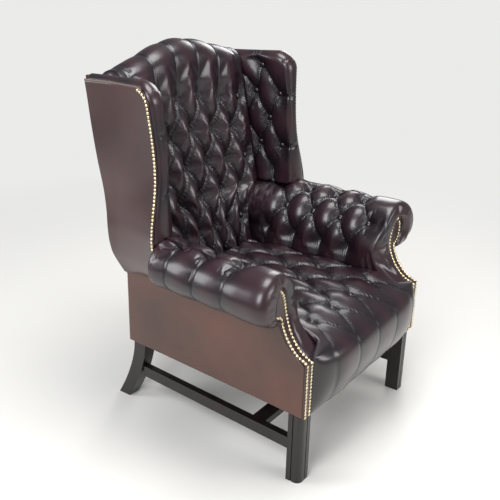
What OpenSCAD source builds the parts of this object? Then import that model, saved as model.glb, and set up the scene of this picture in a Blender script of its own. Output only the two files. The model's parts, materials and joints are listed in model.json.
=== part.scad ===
// Deep-buttoned wingback armchair on four square legs
// Millimetres, +Z up, the chair faces -Y. Left and right are as seen from in front.

/* [Overall] */
// Width over the arm rolls
chair_w = 866; // [840:2:900]
// Height to the top of the camel back
chair_h = 1104; // [1080:4:1140]
// Rise of the camel top above the wings' top edge
camel_rise = 52; // [44:2:64]
// Height of the seat's crown
seat_h = 438; // [425:1:450]
// Height of the arm rolls
arm_h = 627; // [615:1:645]
// Height of the upholstery's bottom edge, the length of the legs that shows
leg_h = 222; // [200:2:240]

/* [Plan] */
// Width over the side panels at the front
body_front_w = 662; // [650:2:680]
// Width over the side panels at the back
body_rear_w = 596; // [584:2:610]
// From the front legs' face to the outside back, below the seat
body_d = 663; // [640:1:690]
// Lean of the back from upright, in degrees
back_rake = 10.5; // [8:0.5:13]
// Height at which the back starts to lean
rake_z = 430; // [420:2:450]
// Thickness of the back, from its padded face to the outside back
back_t = 106; // [104:1:115]

/* [Skins] */
// Thickness of the wadded leather on the outside panels
skin_t = 5; // [3:0.5:6]
// How far the leather stands ahead of the front legs
front_lip = 7; // [6:0.5:9]
// How far the seat's front bulges ahead of the arm fronts
seat_bulge = 45; // [30:1:50]
// Running gap between parts that are fixed against each other
gap = 0.3; // [0.2:0.05:0.5]

/* [Arms] */
// Clear width between the inside arms, at the front legs' face
arm_clear_w = 468; // [460:2:490]
// Height of the rounded top of the inside arm
arm_swell_h = 141; // [130:1:150]
// Half height of the arm roll
roll_half = 74; // [70:1:80]
// From the arm roll's middle down to the seam under it
roll_drop = 67; // [60:1:72]
// From the side panel's plane out to the arm roll's middle
roll_out = 28; // [22:1:34]
// From the arm's top down to the corner where the arm front starts to sweep back
corner_drop = 237; // [231:1:243]
// How far the arm front is swept back
sweep_d = 94; // [85:1:100]
// Height over which the arm front sweeps back
sweep_h = 130; // [115:1:140]
// Roundness of the padded arm front
arm_front_r = 28; // [22:1:34]
// How far the arm roll's padded rim stands ahead of the facing
rim_proud = 22; // [12:1:26]

/* [Arm facings] */
// Width of the nailed strip up the arm front
facing_w = 31; // [27:1:35]
// Thickness of the covered facing
facing_t = 6.5; // [5:0.5:6.5]
// How far the facing widens towards the seat as it rises
facing_lean = 4; // [0:0.5:6]
// Width of the facing's scroll
scroll_w = 72; // [64:1:78]
// From the arm's top down to the scroll's top
scroll_top_drop = 42; // [38:1:50]

/* [Wings] */
// From the front legs' face to the wing's front edge, at the arm
wing_front_y = 461; // [450:1:480]
// Lean of the wing's front edge, in degrees
wing_lean = 4.5; // [3:0.5:6]
// Radius of the wing's top front corner
wing_corner_r = 58; // [48:1:64]
// Most that the outside wing flares out over the arm
wing_flare = 100; // [90:1:104]
// Height of the seam below the wing, at the back
wing_seam_z = 455; // [450:1:465]
// How far the wing spreads at its back edge
wing_spread = 31; // [26:1:34]
// How far the stuffed back bulges just above its seam
rear_puff = 17; // [10:1:20]
// How far the wing's top edge falls towards the back
wing_drop = 16; // [8:1:20]
// Radius of the padded turn round the wing's edge
wing_turn_r = 21; // [18:1:22]
// From the wing's edge back to the edge of its outside panel
panel_back = 11; // [9:0.5:12]
// Padding of the wing's inner face, at the front
wing_pad_front = 25; // [24:1:28]
// Padding of the wing's inner face, at the back
wing_pad_rear = 15; // [12:1:18]
// Thickness of the wing board
wing_board_t = 13; // [10:1:14]
// How far the front of the wing board leans outwards
wing_board_out = 10; // [8:1:11]

/* [Buttoning] */
// Depth of the seat's buttoning
seat_tuft = 22; // [16:1:26]
// Depth of the back's buttoning
back_tuft = 30; // [20:1:34]
// Depth of the arms' buttoning
arm_tuft = 22; // [16:1:24]
// Depth of the wings' buttoning
wing_tuft = 20; // [14:1:22]
// Diameter of a covered button
button_d = 16; // [14:0.5:18]
// Height of a covered button
button_h = 14; // [11:0.5:16]

/* [Legs and stretchers] */
// Side of a square leg
leg_w = 45; // [40:1:48]
// Radius of the front legs' rounded outer corner
leg_bead_r = 17; // [12:1:19]
// Width of the quirk beside the rounded corner
quirk_w = 3; // [2:0.5:4]
// How far the back legs' feet kick back
leg_kick = 76; // [50:1:80]
// Height of a side stretcher's bottom above the floor
stretcher_z = 95; // [80:1:110]
// Height of a side stretcher
stretcher_h = 36; // [30:1:40]
// Thickness of a side stretcher
stretcher_t = 22; // [18:1:26]
// Width of the cross stretcher, which lies flat
cross_w = 46; // [40:1:50]
// Thickness of the cross stretcher
cross_t = 20; // [16:1:24]
// From the front legs' face to the cross stretcher's middle
cross_y = 168; // [140:2:220]

/* [Frame] */
// Height of a seat rail
rail_h = 92; // [80:1:96]
// Thickness of a seat rail
rail_t = 25; // [20:1:28]
// Thickness of the arm stump and the back post
post_t = 42; // [36:1:44]
// Diameter of a frame dowel
dowel_d = 10; // [8:1:12]
// Length of a frame dowel
dowel_l = 50; // [40:1:60]
// Thickness of the arm board
arm_board_t = 12; // [9:1:14]
// Diameter of the zigzag spring wire
spring_wire_d = 3.6; // [3:0.2:4.2]
// Number of zigzag springs
springs = 5; // [3:1:6]
// Width of a webbing strap
webbing_w = 50; // [40:1:60]
// Thickness of the webbing, the hessian and the dust cover
cloth_t = 1.5; // [1:0.1:2]

/* [Nails] */
// Diameter of a nail head
nail_d = 9.4; // [8:0.2:10]
// Height of a nail head
nail_h = 2.8; // [2:0.1:3.4]
// Spacing of the nails
nail_pitch = 10.5; // [10.2:0.1:12]
// From the edge of a panel to the middle of its nails
nail_inset = 5; // [4.8:0.1:6]

/* [Hidden] */

// Roundness of turned shapes
$fn = 48;

// Length by which a cut runs past its face
over = 1;

// Plan: half widths and the taper of the sides
front_half = body_front_w / 2;
rear_half = body_rear_w / 2;
side_taper = (front_half - rear_half) / body_d;
arm_in_half = arm_clear_w / 2;

// Heights of the frame
rail_z = leg_h + 2 * cloth_t;
rail_top = rail_z + rail_h;
frame_side = skin_t + gap;
corner_z = arm_h - corner_drop;

// The back's planes: the padded face, the frame's front face and the outside
back_face_y = body_d - back_t;
back_pad_t = back_tuft + arm_board_t;
crest_r = back_t / 2 - gap;
wing_h = chair_h - camel_rise;
outside_back_drop = crest_r;

// Bulge of the stuffed back above its seam, over its height, as shares
rear_shares = [[-0.03, 0], [0, 0.3], [0.03, 0.75], [0.08, 1], [0.16, 0.85], [0.3, 0.5], [0.5, 0.3], [1, 0.25]];

// The chair's middle along its depth, which is the origin
front_y = -front_lip - seat_bulge;
back_y = rear_y(chair_h - outside_back_drop);
mid_y = (front_y + back_y) / 2;

function lerp(a, b, t) = a + (b - a) * t;
function clamp01(t) = max(0, min(1, t));

// Side panel's outer face at depth y
function side_x(y) = lerp(front_half, rear_half, min(1, y / body_d));
// Shift of the arms towards the middle at depth y
function arm_shift(y) = side_taper * y;
// Outside back and padded back face at height z
function rake_run(z) = max(0, z - rake_z) * tan(back_rake);
function above_seam(z) = (z - wing_seam_z) / (wing_h - wing_seam_z);
function rear_y(z) = body_d + rake_run(z) + rear_puff * lookup(above_seam(z), rear_shares);
function back_skin_y(z) = back_face_y + rake_run(z);
// Top edge of the camel back at a distance x from the middle
function camel_z(x) = wing_h + camel_rise * pow(cos(90 * min(1, abs(x) / rear_half)), 2);

// Front face of the arm front at height z: upright, then swept back
sweep_power = 1.7;
function sweep_t(z) = clamp01((corner_z + sweep_h - z) / sweep_h);
function face_y(z) = z <= corner_z ? -front_lip
    : -front_lip + sweep_d * pow(max(0, 1 - pow(sweep_t(z), sweep_power)), 1 / sweep_power);

// Section of the arm, right side: [inner x, top x, top z, outer x, middle z, seam x, seam z]
arm_top_x = front_half + roll_out;
arm_out = chair_w / 2 + arm_shift(sweep_d);
arm_skin = [arm_in_half, arm_top_x, arm_h, arm_out, arm_h - roll_half,
            front_half + gap, arm_h - roll_half - roll_drop, arm_in_half];
facing_in = front_half - facing_w;
scroll_x_share = 0.58;
arm_rim = [facing_in - facing_lean, facing_in + scroll_w * scroll_x_share, arm_h - scroll_top_drop,
           facing_in + scroll_w, arm_h - roll_half - scroll_top_drop / 3,
           front_half, arm_h - roll_half - roll_drop + facing_t, facing_in];
core_share = 0.5;
arm_core = [for (i = [0:7]) i == 0 || i == 7 ? facing_in : lerp(arm_skin[i], arm_rim[i], core_share)];
arm_spring_z = arm_h - arm_swell_h;
// Rows of the arm's section: side, swell, roll, underside
arm_rows = [4, 13, 18, 24];
// How deep the arms reach into the crevice, as a share of the seat's height over its rails
crevice_share = 0.463;
crevice_drop = (seat_h - rail_top) * crevice_share;
arm_low_z = seat_h - crevice_drop;

function arm_section(j, s, low) =
    j <= arm_rows[0] ? [lerp(s[7], s[0], j / arm_rows[0]), lerp(low, arm_spring_z, j / arm_rows[0])]
    : j <= arm_rows[1] ? let (a = 180 - 90 * (j - arm_rows[0]) / (arm_rows[1] - arm_rows[0]))
        [s[1] + (s[1] - s[0]) * cos(a), arm_spring_z + (s[2] - arm_spring_z) * sin(a)]
    : j <= arm_rows[2] ? let (a = 90 - 90 * (j - arm_rows[1]) / (arm_rows[2] - arm_rows[1]))
        [s[1] + (s[3] - s[1]) * cos(a), s[4] + (s[2] - s[4]) * sin(a)]
    : let (a = -90 * (j - arm_rows[2]) / (arm_rows[3] - arm_rows[2]))
        [s[5] + (s[3] - s[5]) * cos(a), s[4] + (s[4] - s[6]) * sin(a)];

// Inner face of the arm at height z, before the shift
function arm_inner_x(z) = z <= arm_spring_z ? arm_in_half
    : arm_top_x - (arm_top_x - arm_in_half)
        * sqrt(max(0, 1 - pow(min(1, (z - arm_spring_z) / arm_swell_h), 2)));
// Top of the arm roll at a distance x from the middle and depth y
function arm_top_z(x, y) = let (c = arm_top_x - arm_shift(y), r = x < c ? arm_top_x - arm_in_half : arm_out - arm_top_x)
    x < c ? arm_spring_z + arm_swell_h * sqrt(max(0, 1 - pow((c - x) / r, 2)))
          : arm_h - roll_half + roll_half * sqrt(max(0, 1 - pow(min(1, (x - c) / r), 2)));

// Wing: its edge runs up the front, round the corner and along the top.
// The same edge set back by d bounds the panel, the board and the flat of the padding
function wing_line_y(z) = wing_front_y + (z - arm_h) * tan(wing_lean);
corner_c = [wing_line_y(wing_h - wing_corner_r) + wing_corner_r, wing_h - wing_corner_r];
function wing_fall(y) = wing_drop * clamp01((y - corner_c[0]) / (rear_y(wing_h) - corner_c[0]));
function arc_point(f, d) = [corner_c[0] - (wing_corner_r - d) * cos(f), corner_c[1] + (wing_corner_r - d) * sin(f)];
function edge_y(z, d) = z <= corner_c[1] ? wing_line_y(z) + d
    : corner_c[0] - sqrt(max(0, pow(wing_corner_r - d, 2) - pow(z - corner_c[1], 2)));
function edge_z(y, d) = y >= corner_c[0] ? wing_h - d - wing_fall(y)
    : y <= arc_point(45, d)[0] ? arc_point(45, d)[1]
    : corner_c[1] + sqrt(max(0, pow(wing_corner_r - d, 2) - pow(corner_c[0] - y, 2)));
function wing_seam(y) = lerp(arm_skin[6], wing_seam_z, clamp01((y - wing_front_y) / (body_d - wing_front_y)));
// Flare of the outside wing over its height, and spread of its back edge, as shares
flare_shares = [[0, 0], [0.012, 0.34], [0.035, 0.62], [0.067, 0.69], [0.107, 0.70], [0.152, 0.72],
                [0.204, 0.755], [0.261, 0.765], [0.323, 0.705], [0.39, 0.61], [0.462, 0.485],
                [0.538, 0.39], [0.618, 0.355], [0.703, 0.365], [0.791, 0.41], [0.884, 0.48],
                [0.98, 0.55], [1, 0.56]];
spread_shares = [[0, 0.05], [0.03, 0.2], [0.07, 0.5], [0.11, 0.8], [0.16, 1], [0.24, 1.04],
                 [0.33, 0.88], [0.42, 0.8], [0.58, 0.92], [0.75, 0.9], [0.9, 0.78], [1, 0.74]];
flare_power = 1.6;
function wing_w(y, z) = clamp01((rear_y(z) - y) / (rear_y(z) - wing_line_y(z)));
function wing_out_x(y, z) = let (t = (z - wing_seam(y)) / (wing_h - wing_seam(y)))
    side_x(y) + wing_spread * lookup(t, spread_shares)
    + (wing_flare * lookup(t, flare_shares) - wing_spread * lookup(t, spread_shares) * (1 - wing_base_share))
    * pow(wing_w(y, z), flare_power);
// Share of the back edge's spread that is left at the front edge
wing_base_share = 0.2;
// Wing board: its inner face, and the padded inner face before it
post_out = rear_half - frame_side - arm_board_t / 2;
function board_t_share(y) = clamp01((y - wing_front_y) / (rear_y(wing_h) - wing_front_y));
board_front_x = front_half - skin_t - wing_board_t - gap + wing_board_out;
function board_in_x(y) = lerp(board_front_x, post_out + gap, board_t_share(y));
function wing_pad_x(y) = board_in_x(y) - gap - lerp(wing_pad_front, wing_pad_rear, board_t_share(y));

// Diamond buttoning on a grid whose diamonds are 4 columns wide and 8 rows tall.
// field: [a button's column and row, columns and rows that the pattern covers, columns and rows of buttons]
crease_share = 0.45;
puff_power = 0.6;
function diamond_u(i, j, f) = (i - f[0][0]) / 4 + (j - f[0][1]) / 8;
function diamond_v(i, j, f) = (i - f[0][0]) / 4 - (j - f[0][1]) / 8;
function held(i, j, f) = [max(f[1][0], min(f[1][1], i)), max(f[1][2], min(f[1][3], j))];
function puff(i, j, f) = let (h = held(i, j, f))
    pow(abs(sin(180 * diamond_u(h[0], h[1], f)) * sin(180 * diamond_v(h[0], h[1], f))), puff_power);
function in_field(i, j, f) = i >= f[2][0] && i <= f[2][1] && j >= f[2][2] && j <= f[2][3];
function pit(i, j, f) =
    let (m = round(diamond_u(i, j, f)), k = round(diamond_v(i, j, f)),
         bi = f[0][0] + 2 * (m + k), bj = f[0][1] + 4 * (m - k), d2 = pow(i - bi, 2) + pow(j - bj, 2))
    in_field(bi, bj, f) ? exp(-4 * d2) : 0;
// How far the surface lies below its crown at column i, row j
function sunk(i, j, f, depth) = depth * (1 - (1 - crease_share) * puff(i, j, f)
                                         - crease_share * (1 - pit(i, j, f)));
// Columns and rows of the buttons of a field
function button_places(f) = [
    for (m = [-12:12]) for (k = [-12:12])
        let (i = f[0][0] + 2 * (m + k), j = f[0][1] + 4 * (m - k)) if (in_field(i, j, f)) [i, j]];

// A padded solid from a staggered grid: even rows have n + 1 points, odd rows n + 2.
// under[j] holds the points below row j
function row_columns(n, j) = j % 2 == 0 ? [for (i = [0:n]) i] : [0, for (i = [1:n]) i - 0.5, n];
function row_start(n, j) = floor(j / 2) * (2 * n + 3) + (j % 2) * (n + 1);
function side_faces(a, b, i, k, na, nb, turn) =
    i >= na && k >= nb ? []
    : (i < na && (k >= nb || (i + 1) * nb <= (k + 1) * na))
        ? concat([turn ? [a + i, b + k, a + i + 1] : [a + i, a + i + 1, b + k]],
                 side_faces(a, b, i + 1, k, na, nb, turn))
        : concat([turn ? [b + k, b + k + 1, a + i] : [b + k, a + i, b + k + 1]],
                 side_faces(a, b, i, k + 1, na, nb, turn));
module padded_solid(rows, under) {
    n = len(rows[0]) - 1;
    m = len(rows) - 1;
    q = len(under[0]);
    base = row_start(n, m) + n + 1;
    points = concat([for (r = rows) each r], [for (r = under) each r]);
    skin = [for (j = [0:m - 1])
        let (e = row_start(n, j % 2 == 0 ? j : j + 1), o = row_start(n, j % 2 == 0 ? j + 1 : j), up = j % 2 == 0)
        each concat(
            [for (i = [0:n - 1]) up ? [e + i, o + i + 1, e + i + 1] : [e + i, e + i + 1, o + i + 1]],
            [for (i = [0:n]) up ? [o + i, o + i + 1, e + i] : [o + i, e + i, o + i + 1]])];
    lining = [for (j = [0:m - 1]) for (k = [0:q - 2])
        let (a = base + j * q + k, b = a + q) each [[a, a + 1, b], [b, a + 1, b + 1]]];
    left_wall = [for (j = [0:m - 1])
        let (a = row_start(n, j), b = row_start(n, j + 1), c = base + j * q, d = c + q)
        each [[a, d, b], [a, c, d]]];
    right_wall = [for (j = [0:m - 1])
        let (a = row_start(n, j + 1) - 1, b = j == m - 1 ? base - 1 : row_start(n, j + 2) - 1,
             c = base + j * q + q - 1, d = c + q)
        each [[b, c, a], [b, d, c]]];
    first_wall = side_faces(0, base, 0, 0, n, q - 1, false);
    last_wall = side_faces(row_start(n, m), base + m * q, 0, 0, n, q - 1, true);
    polyhedron(points, concat(skin, lining, left_wall, right_wall, first_wall, last_wall));
}

// Puts a piece drawn from the front legs' face into the chair's frame
module placed() {
    translate([0, -mid_y, 0])
        children();
}

// A piece drawn on the right goes to the named side
module on_side(side) {
    placed()
        if (side == "left") mirror([1, 0, 0]) children(); else children();
}

// Side outline (y, z) made into a board from x0 to x1
module side_board(x0, x1) {
    translate([x0, 0, 0])
        rotate([90, 0, 90])
            linear_extrude(x1 - x0)
                children();
}

// Front outline (x, z) made into a board from y0 to y1
module front_board(y0, y1) {
    translate([0, y1, 0])
        rotate([90, 0, 0])
            linear_extrude(y1 - y0)
                children();
}

// Legs
kick_steps = 10;
kick_z = leg_h * 0.94;
function kick(z) = leg_kick * pow(clamp01((kick_z - z) / kick_z), 1.6);
rear_leg_x = post_out - leg_w;
post_rear = frame_side + skin_t;
front_leg_x = front_half - skin_t;
stump_rear = post_t - front_lip / 2;
tenon_share = 0.5;
tenon_l = leg_w * 0.45;
tenon_h = stretcher_h * tenon_share;
stretcher_front = [front_leg_x - (leg_w - stretcher_t) / 2 - stretcher_t, leg_w - over];
stretcher_angle = atan((front_leg_x - rear_leg_x - leg_w) / body_d);

module front_leg(side) {
    color("#231814") on_side(side)
        difference() {
            translate([front_leg_x - leg_w, 0, 0])
                linear_extrude(rail_top)
                    leg_profile();
            side_tenon(tenon_l + gap, gap);
            rail_dowel_holes();
            translate([side_x(leg_w) - frame_side, -over, leg_h])
                cube([leg_w, leg_w + 2 * over, rail_h * 2]);
        }
}

// Square with a large rounded outer corner and a quirk on each side of it
module leg_profile() {
    reach = leg_bead_r * 1.6;
    difference() {
        square(leg_w);
        translate([leg_w - leg_bead_r, 0])
            square([leg_bead_r + over, leg_bead_r]);
        translate([leg_w - reach - quirk_w, -over])
            square([quirk_w, quirk_w + over]);
        translate([leg_w - quirk_w, reach])
            square([quirk_w + over, quirk_w]);
    }
    translate([leg_w - leg_bead_r, leg_bead_r])
        circle(leg_bead_r);
}

module rear_leg(side) {
    color("#2a1c17") on_side(side)
        difference() {
            side_board(rear_leg_x, rear_leg_x + leg_w)
                rear_leg_outline();
            side_tenon(tenon_l + gap, gap);
            rail_dowel_holes();
        }
}

module rear_leg_outline() {
    front = body_d - post_rear - leg_w;
    top = wing_h - crest_r * 1.8;
    polygon(concat(
        [for (i = [0:kick_steps]) let (z = kick_z * i / kick_steps) [body_d - post_rear + kick(z), z]],
        [[body_d - post_rear, rake_z], [body_d - post_rear + rake_run(top), top],
         [front + rake_run(top), top], [front, rake_z]],
        [for (i = [kick_steps:-1:0]) let (z = kick_z * i / kick_steps) [front + kick(z), z]]));
}

// Stretchers
module side_stretcher_body(fit) {
    span = body_d - post_rear - leg_w + kick(stretcher_z + stretcher_h / 2) - leg_w;
    translate([stretcher_front[0], leg_w, stretcher_z])
        rotate(stretcher_angle)
            children();
}

function stretcher_span() = (body_d - post_rear - leg_w + kick(stretcher_z + stretcher_h) - leg_w) / cos(stretcher_angle);

// The stretcher's two tenons, which are also the legs' mortises when grown by fit
module side_tenon(reach, fit) {
    side_stretcher_body()
        translate([stretcher_t * (1 - tenon_share) / 2 - fit, -reach, stretcher_h * (1 - tenon_share) / 2 - fit])
            cube([stretcher_t * tenon_share + 2 * fit, stretcher_span() + 2 * reach, tenon_h + 2 * fit]);
}

module side_stretcher(side) {
    color("#1c1310") on_side(side)
        difference() {
            union() {
                side_stretcher_body()
                    translate([0, gap, 0])
                        cube([stretcher_t, stretcher_span() - 2 * gap, stretcher_h]);
                intersection() {
                    side_tenon(tenon_l, 0);
                    translate([0, leg_w - tenon_l, 0])
                        cube([chair_w, body_d, leg_h]);
                }
            }
            side_board(0, chair_w)
                offset_rear_leg();
            cross_tenon(gap);
        }
}

// Space of the rear leg's front, which the stretcher's shoulder follows
module offset_rear_leg() {
    front = body_d - post_rear - leg_w - gap;
    polygon(concat(
        [for (i = [0:kick_steps]) let (z = kick_z * i / kick_steps) if (z < stretcher_z + stretcher_h * (1 - tenon_share) / 2) [front + kick(z), z]],
        [[front + kick(stretcher_z + stretcher_h * (1 - tenon_share) / 2), stretcher_z + stretcher_h * (1 - tenon_share) / 2],
         [body_d * 2, stretcher_z + stretcher_h * (1 - tenon_share) / 2], [body_d * 2, 0]]));
    polygon(concat(
        [for (i = [0:kick_steps]) let (z = kick_z * i / kick_steps) if (z > stretcher_z + stretcher_h * (1 + tenon_share) / 2) [front + kick(z), z]],
        [[body_d * 2, leg_h], [body_d * 2, stretcher_z + stretcher_h * (1 + tenon_share) / 2],
         [front + kick(stretcher_z + stretcher_h * (1 + tenon_share) / 2), stretcher_z + stretcher_h * (1 + tenon_share) / 2]]));
}

cross_z = stretcher_z + stretcher_h - cross_t;
cross_half = stretcher_front[0] - (cross_y - leg_w) * tan(stretcher_angle);
cross_tenon_l = stretcher_t * tenon_share;

module cross_tenon(fit) {
    translate([0, cross_y - cross_w * tenon_share / 2 - fit, cross_z + cross_t / 4 - fit])
        cube([cross_half + cross_tenon_l + fit, cross_w * tenon_share + 2 * fit, cross_t * tenon_share + 2 * fit]);
}

module cross_stretcher() {
    color("#1c1310") placed() {
        for (m = [0, 1])
            mirror([m, 0, 0]) {
                translate([0, cross_y - cross_w / 2, cross_z])
                    linear_extrude(cross_t)
                        polygon([[0, 0], [cross_half - gap + cross_w / 2 * tan(stretcher_angle), 0],
                                 [cross_half - gap - cross_w / 2 * tan(stretcher_angle), cross_w], [0, cross_w]]);
                cross_tenon(0);
            }
    }
}

// Seat rails
rail_front_half = front_leg_x - leg_w;
side_rail_x = front_leg_x - gap;
rail_back_y = body_d - post_rear - leg_w;
rail_angle = atan(side_taper);

module front_rail() {
    color("#c9a777") placed()
        difference() {
            translate([-rail_front_half + gap, 0, rail_z])
                cube([2 * (rail_front_half - gap), rail_t, rail_h]);
            for (m = [0, 1])
                mirror([m, 0, 0])
                    rail_dowel_holes();
        }
}

module back_rail() {
    color("#c9a777") placed()
        difference() {
            translate([-rear_leg_x + gap, body_d - post_rear - rail_t, rail_z])
                cube([2 * (rear_leg_x - gap), rail_t, rail_h]);
            for (m = [0, 1])
                mirror([m, 0, 0])
                    rail_dowel_holes();
        }
}

module side_rail(side) {
    color("#c9a777") on_side(side)
        difference() {
            translate([0, leg_w + gap, rail_z])
                linear_extrude(rail_h)
                    polygon([[side_x(leg_w) - frame_side, 0], [side_x(rail_back_y) - frame_side, rail_back_y - leg_w - 2 * gap],
                             [side_x(rail_back_y) - frame_side - rail_t, rail_back_y - leg_w - 2 * gap],
                             [side_x(leg_w) - frame_side - rail_t, 0]]);
            rail_dowel_holes();
        }
}

// Dowels of the right-hand joints: two at each end of every rail
dowel_rows = [rail_z + rail_h * 0.28, rail_z + rail_h * 0.72];
module rail_dowels(d, l) {
    for (z = dowel_rows) {
        translate([rail_front_half, rail_t / 2, z])
            rotate([0, 90, 0])
                cylinder(d = d, h = l, center = true);
        translate([rear_leg_x, body_d - post_rear - rail_t / 2, z])
            rotate([0, 90, 0])
                cylinder(d = d, h = l, center = true);
    }
    for (z = dowel_rows) {
        translate([front_leg_x - frame_side - rail_t / 2, leg_w, z + dowel_d])
            rotate([90, 0, 0])
                cylinder(d = d, h = l, center = true);
        translate([rear_leg_x + leg_w - frame_side - rail_t / 2 + skin_t, rail_back_y, z + dowel_d])
            rotate([90, 0, 0])
                cylinder(d = d, h = l, center = true);
    }
}

module rail_dowel_holes() {
    rail_dowels(dowel_d, dowel_l + 2 * over);
}

module frame_dowels() {
    color("#b98f5c") placed()
        for (m = [0, 1])
            mirror([m, 0, 0])
                rail_dowels(dowel_d - gap, dowel_l);
}

// Triangular glue blocks in the seat frame's corners
block_leg = post_t * 1.4;
block_h = rail_h * 0.6;
module corner_blocks() {
    color("#b98f5c") placed()
        for (m = [0, 1])
            mirror([m, 0, 0]) {
                translate([rail_front_half - gap, rail_t + gap, rail_z + rail_h / 5])
                    linear_extrude(block_h)
                        polygon([[0, 0], [0, leg_w - rail_t], [-block_leg, 0]]);
                translate([rear_leg_x - gap, body_d - post_rear - rail_t - gap, rail_z + rail_h / 5])
                    linear_extrude(block_h)
                        polygon([[0, 0], [0, rail_t - leg_w], [-block_leg, 0]]);
            }
}

// Back frame
frame_front = back_t - post_rear - leg_w;
function frame_front_y(z) = body_d - post_rear - leg_w + rake_run(z);
crest_bottom = wing_h - crest_r * 2.6;
crest_top_drop = crest_r + 2 * over;

module raked_rail(z0, z1) {
    side_board(-chair_w / 2, chair_w / 2)
        polygon([[frame_front_y(z0) + leg_w - rail_t, z0], [frame_front_y(z1) + leg_w - rail_t, z1],
                 [frame_front_y(z1) + leg_w, z1], [frame_front_y(z0) + leg_w, z0]]);
}

crest_steps = 24;
module crest_rail() {
    half = rear_leg_x - gap;
    color("#c9a777") placed()
        intersection() {
            raked_rail(crest_bottom, chair_h);
            front_board(0, body_d * 2)
                polygon(concat([[half, crest_bottom], [-half, crest_bottom]],
                    [for (i = [0:crest_steps]) let (x = lerp(-half, half, i / crest_steps)) [x, camel_z(x) - crest_top_drop]]));
        }
}

lower_rail_z = seat_h + crevice_drop / 2;
module lower_back_rail() {
    color("#c9a777") placed()
        intersection() {
            raked_rail(lower_rail_z, lower_rail_z + rail_h * 0.6);
            translate([-rear_leg_x + gap, 0, 0])
                cube([2 * (rear_leg_x - gap), body_d * 2, chair_h]);
        }
}

// Arm frame
face_steps = 28;
module arm_band(front, depth) {
    steps = face_steps;
    bottom = rail_top + gap;
    top = arm_rim[2];
    side_board(0, chair_w)
        polygon(concat(
            [for (i = [0:steps]) let (z = lerp(corner_z, top, i / steps)) [face_y(z) + front, z]],
            [for (i = [steps:-1:0]) let (z = lerp(corner_z, top, i / steps)) [face_y(z) + front + depth, z]],
            [[-front_lip + front + depth, bottom], [-front_lip + front, bottom]]));
}

// Outline of the facing, seen from in front, shrunk by inset
strip_steps = 10;
function face_shift(x, z) = [x - arm_shift(max(0, face_y(z))), z];
function rim_inset(d) = [arm_rim[0] + d, arm_rim[1], arm_rim[2] - d, arm_rim[3] - d,
                         arm_rim[4], arm_rim[5] - d, arm_rim[6] + d, arm_rim[7] + d];
function strip_in(z, d) = face_shift(lerp(arm_rim[7], arm_rim[0], clamp01((z - arm_low_z) / (arm_spring_z - arm_low_z))) + d, z);
function facing_outline(inset, low) = concat(
    [for (k = [0:strip_steps]) strip_in(lerp(low, arm_spring_z, k / strip_steps), inset)],
    [for (j = [arm_rows[0] + 1:arm_rows[3]]) let (p = arm_section(j, rim_inset(inset), low)) face_shift(p[0], p[1])],
    [for (k = [strip_steps - 1:-1:0]) face_shift(front_half - inset, lerp(low, arm_rim[6], k / strip_steps))]);

module arm_stump(side) {
    color("#c9a777") on_side(side)
        intersection() {
            arm_band(facing_t + gap, post_t);
            front_board(-sweep_d, body_d)
                polygon(facing_outline(skin_t + gap + side_taper * (post_t + facing_t), rail_top + gap));
        }
}

stump_back = -front_lip + sweep_d + facing_t + post_t + 2 * gap;
arm_board_top = arm_spring_z - gap;
module arm_board(side) {
    y0 = stump_back;
    y1 = rail_back_y - gap;
    color("#d8bd90") on_side(side)
        translate([0, 0, rail_top + gap])
            linear_extrude(arm_board_top - rail_top)
                polygon([[facing_in + gap - arm_shift(y0), y0], [facing_in + gap + arm_board_t - arm_shift(y0), y0],
                         [facing_in + gap + arm_board_t - arm_shift(y1), y1], [facing_in + gap - arm_shift(y1), y1]]);
}

arm_rail_w = post_t * 0.64;
module arm_rail(side) {
    y0 = stump_back;
    y1 = wing_line_y(arm_skin[6]) - gap;
    x0 = facing_in + 2 * over;
    color("#c9a777") on_side(side)
        translate([0, 0, arm_board_top + gap + gap])
            linear_extrude(rail_t)
                polygon([[x0 - arm_shift(y0), y0], [x0 + arm_rail_w - arm_shift(y0), y0],
                         [x0 + arm_rail_w - arm_shift(y1), y1], [x0 - arm_shift(y1), y1]]);
}

// Outline (y, z) of a wing set back by d, from height z0 to depth y1
arc_steps = 6;
function wing_outline(d, z0, y1) = concat(
    [[y1, z0], [wing_line_y(z0) + d, z0]], [for (k = [0:arc_steps]) arc_point(90 * k / arc_steps, d)],
    [[y1, edge_z(y1, d)]]);

// Wing board: a flat board along the post, inside the outside wing
module wing_board(side) {
    z0 = arm_h + over;
    y1 = body_d - post_rear + rake_run(z0);
    turn = atan((board_front_x - post_out - gap) / (rear_y(wing_h) - wing_front_y));
    color("#d8bd90") on_side(side)
        intersection() {
            side_board(0, chair_w)
                difference() {
                    polygon(wing_outline(board_back + 4 * over, z0, rear_y(wing_h)));
                    polygon([[y1, z0 - over], [body_d * 3, z0 - over], [body_d * 3, chair_h],
                             [body_d - post_rear + rake_run(chair_h), chair_h]]);
                }
            translate([board_front_x, wing_front_y, 0])
                rotate(turn)
                    translate([0, -wing_front_y, 0])
                        cube([wing_board_t, body_d * 2, chair_h]);
        }
}

// Zigzag springs and what holds them
spring_z = rail_top + spring_wire_d;
spring_pitch = (rail_front_half * 2 - post_t) / springs;
spring_turn_r = spring_pitch * 0.16;
spring_turns = 2 * floor((rail_back_y - rail_t) / (4 * spring_turn_r));
spring_run = (rail_back_y - rail_t / 2) / spring_turns;
spring_half = spring_pitch * 0.3 - spring_turn_r;

function spring_x(i) = (i - (springs - 1) / 2) * spring_pitch * 0.84;

module half_turn() {
    rotate_extrude(angle = 180)
        translate([spring_run / 2, 0])
            circle(d = spring_wire_d, $fn = 16);
}

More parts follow.
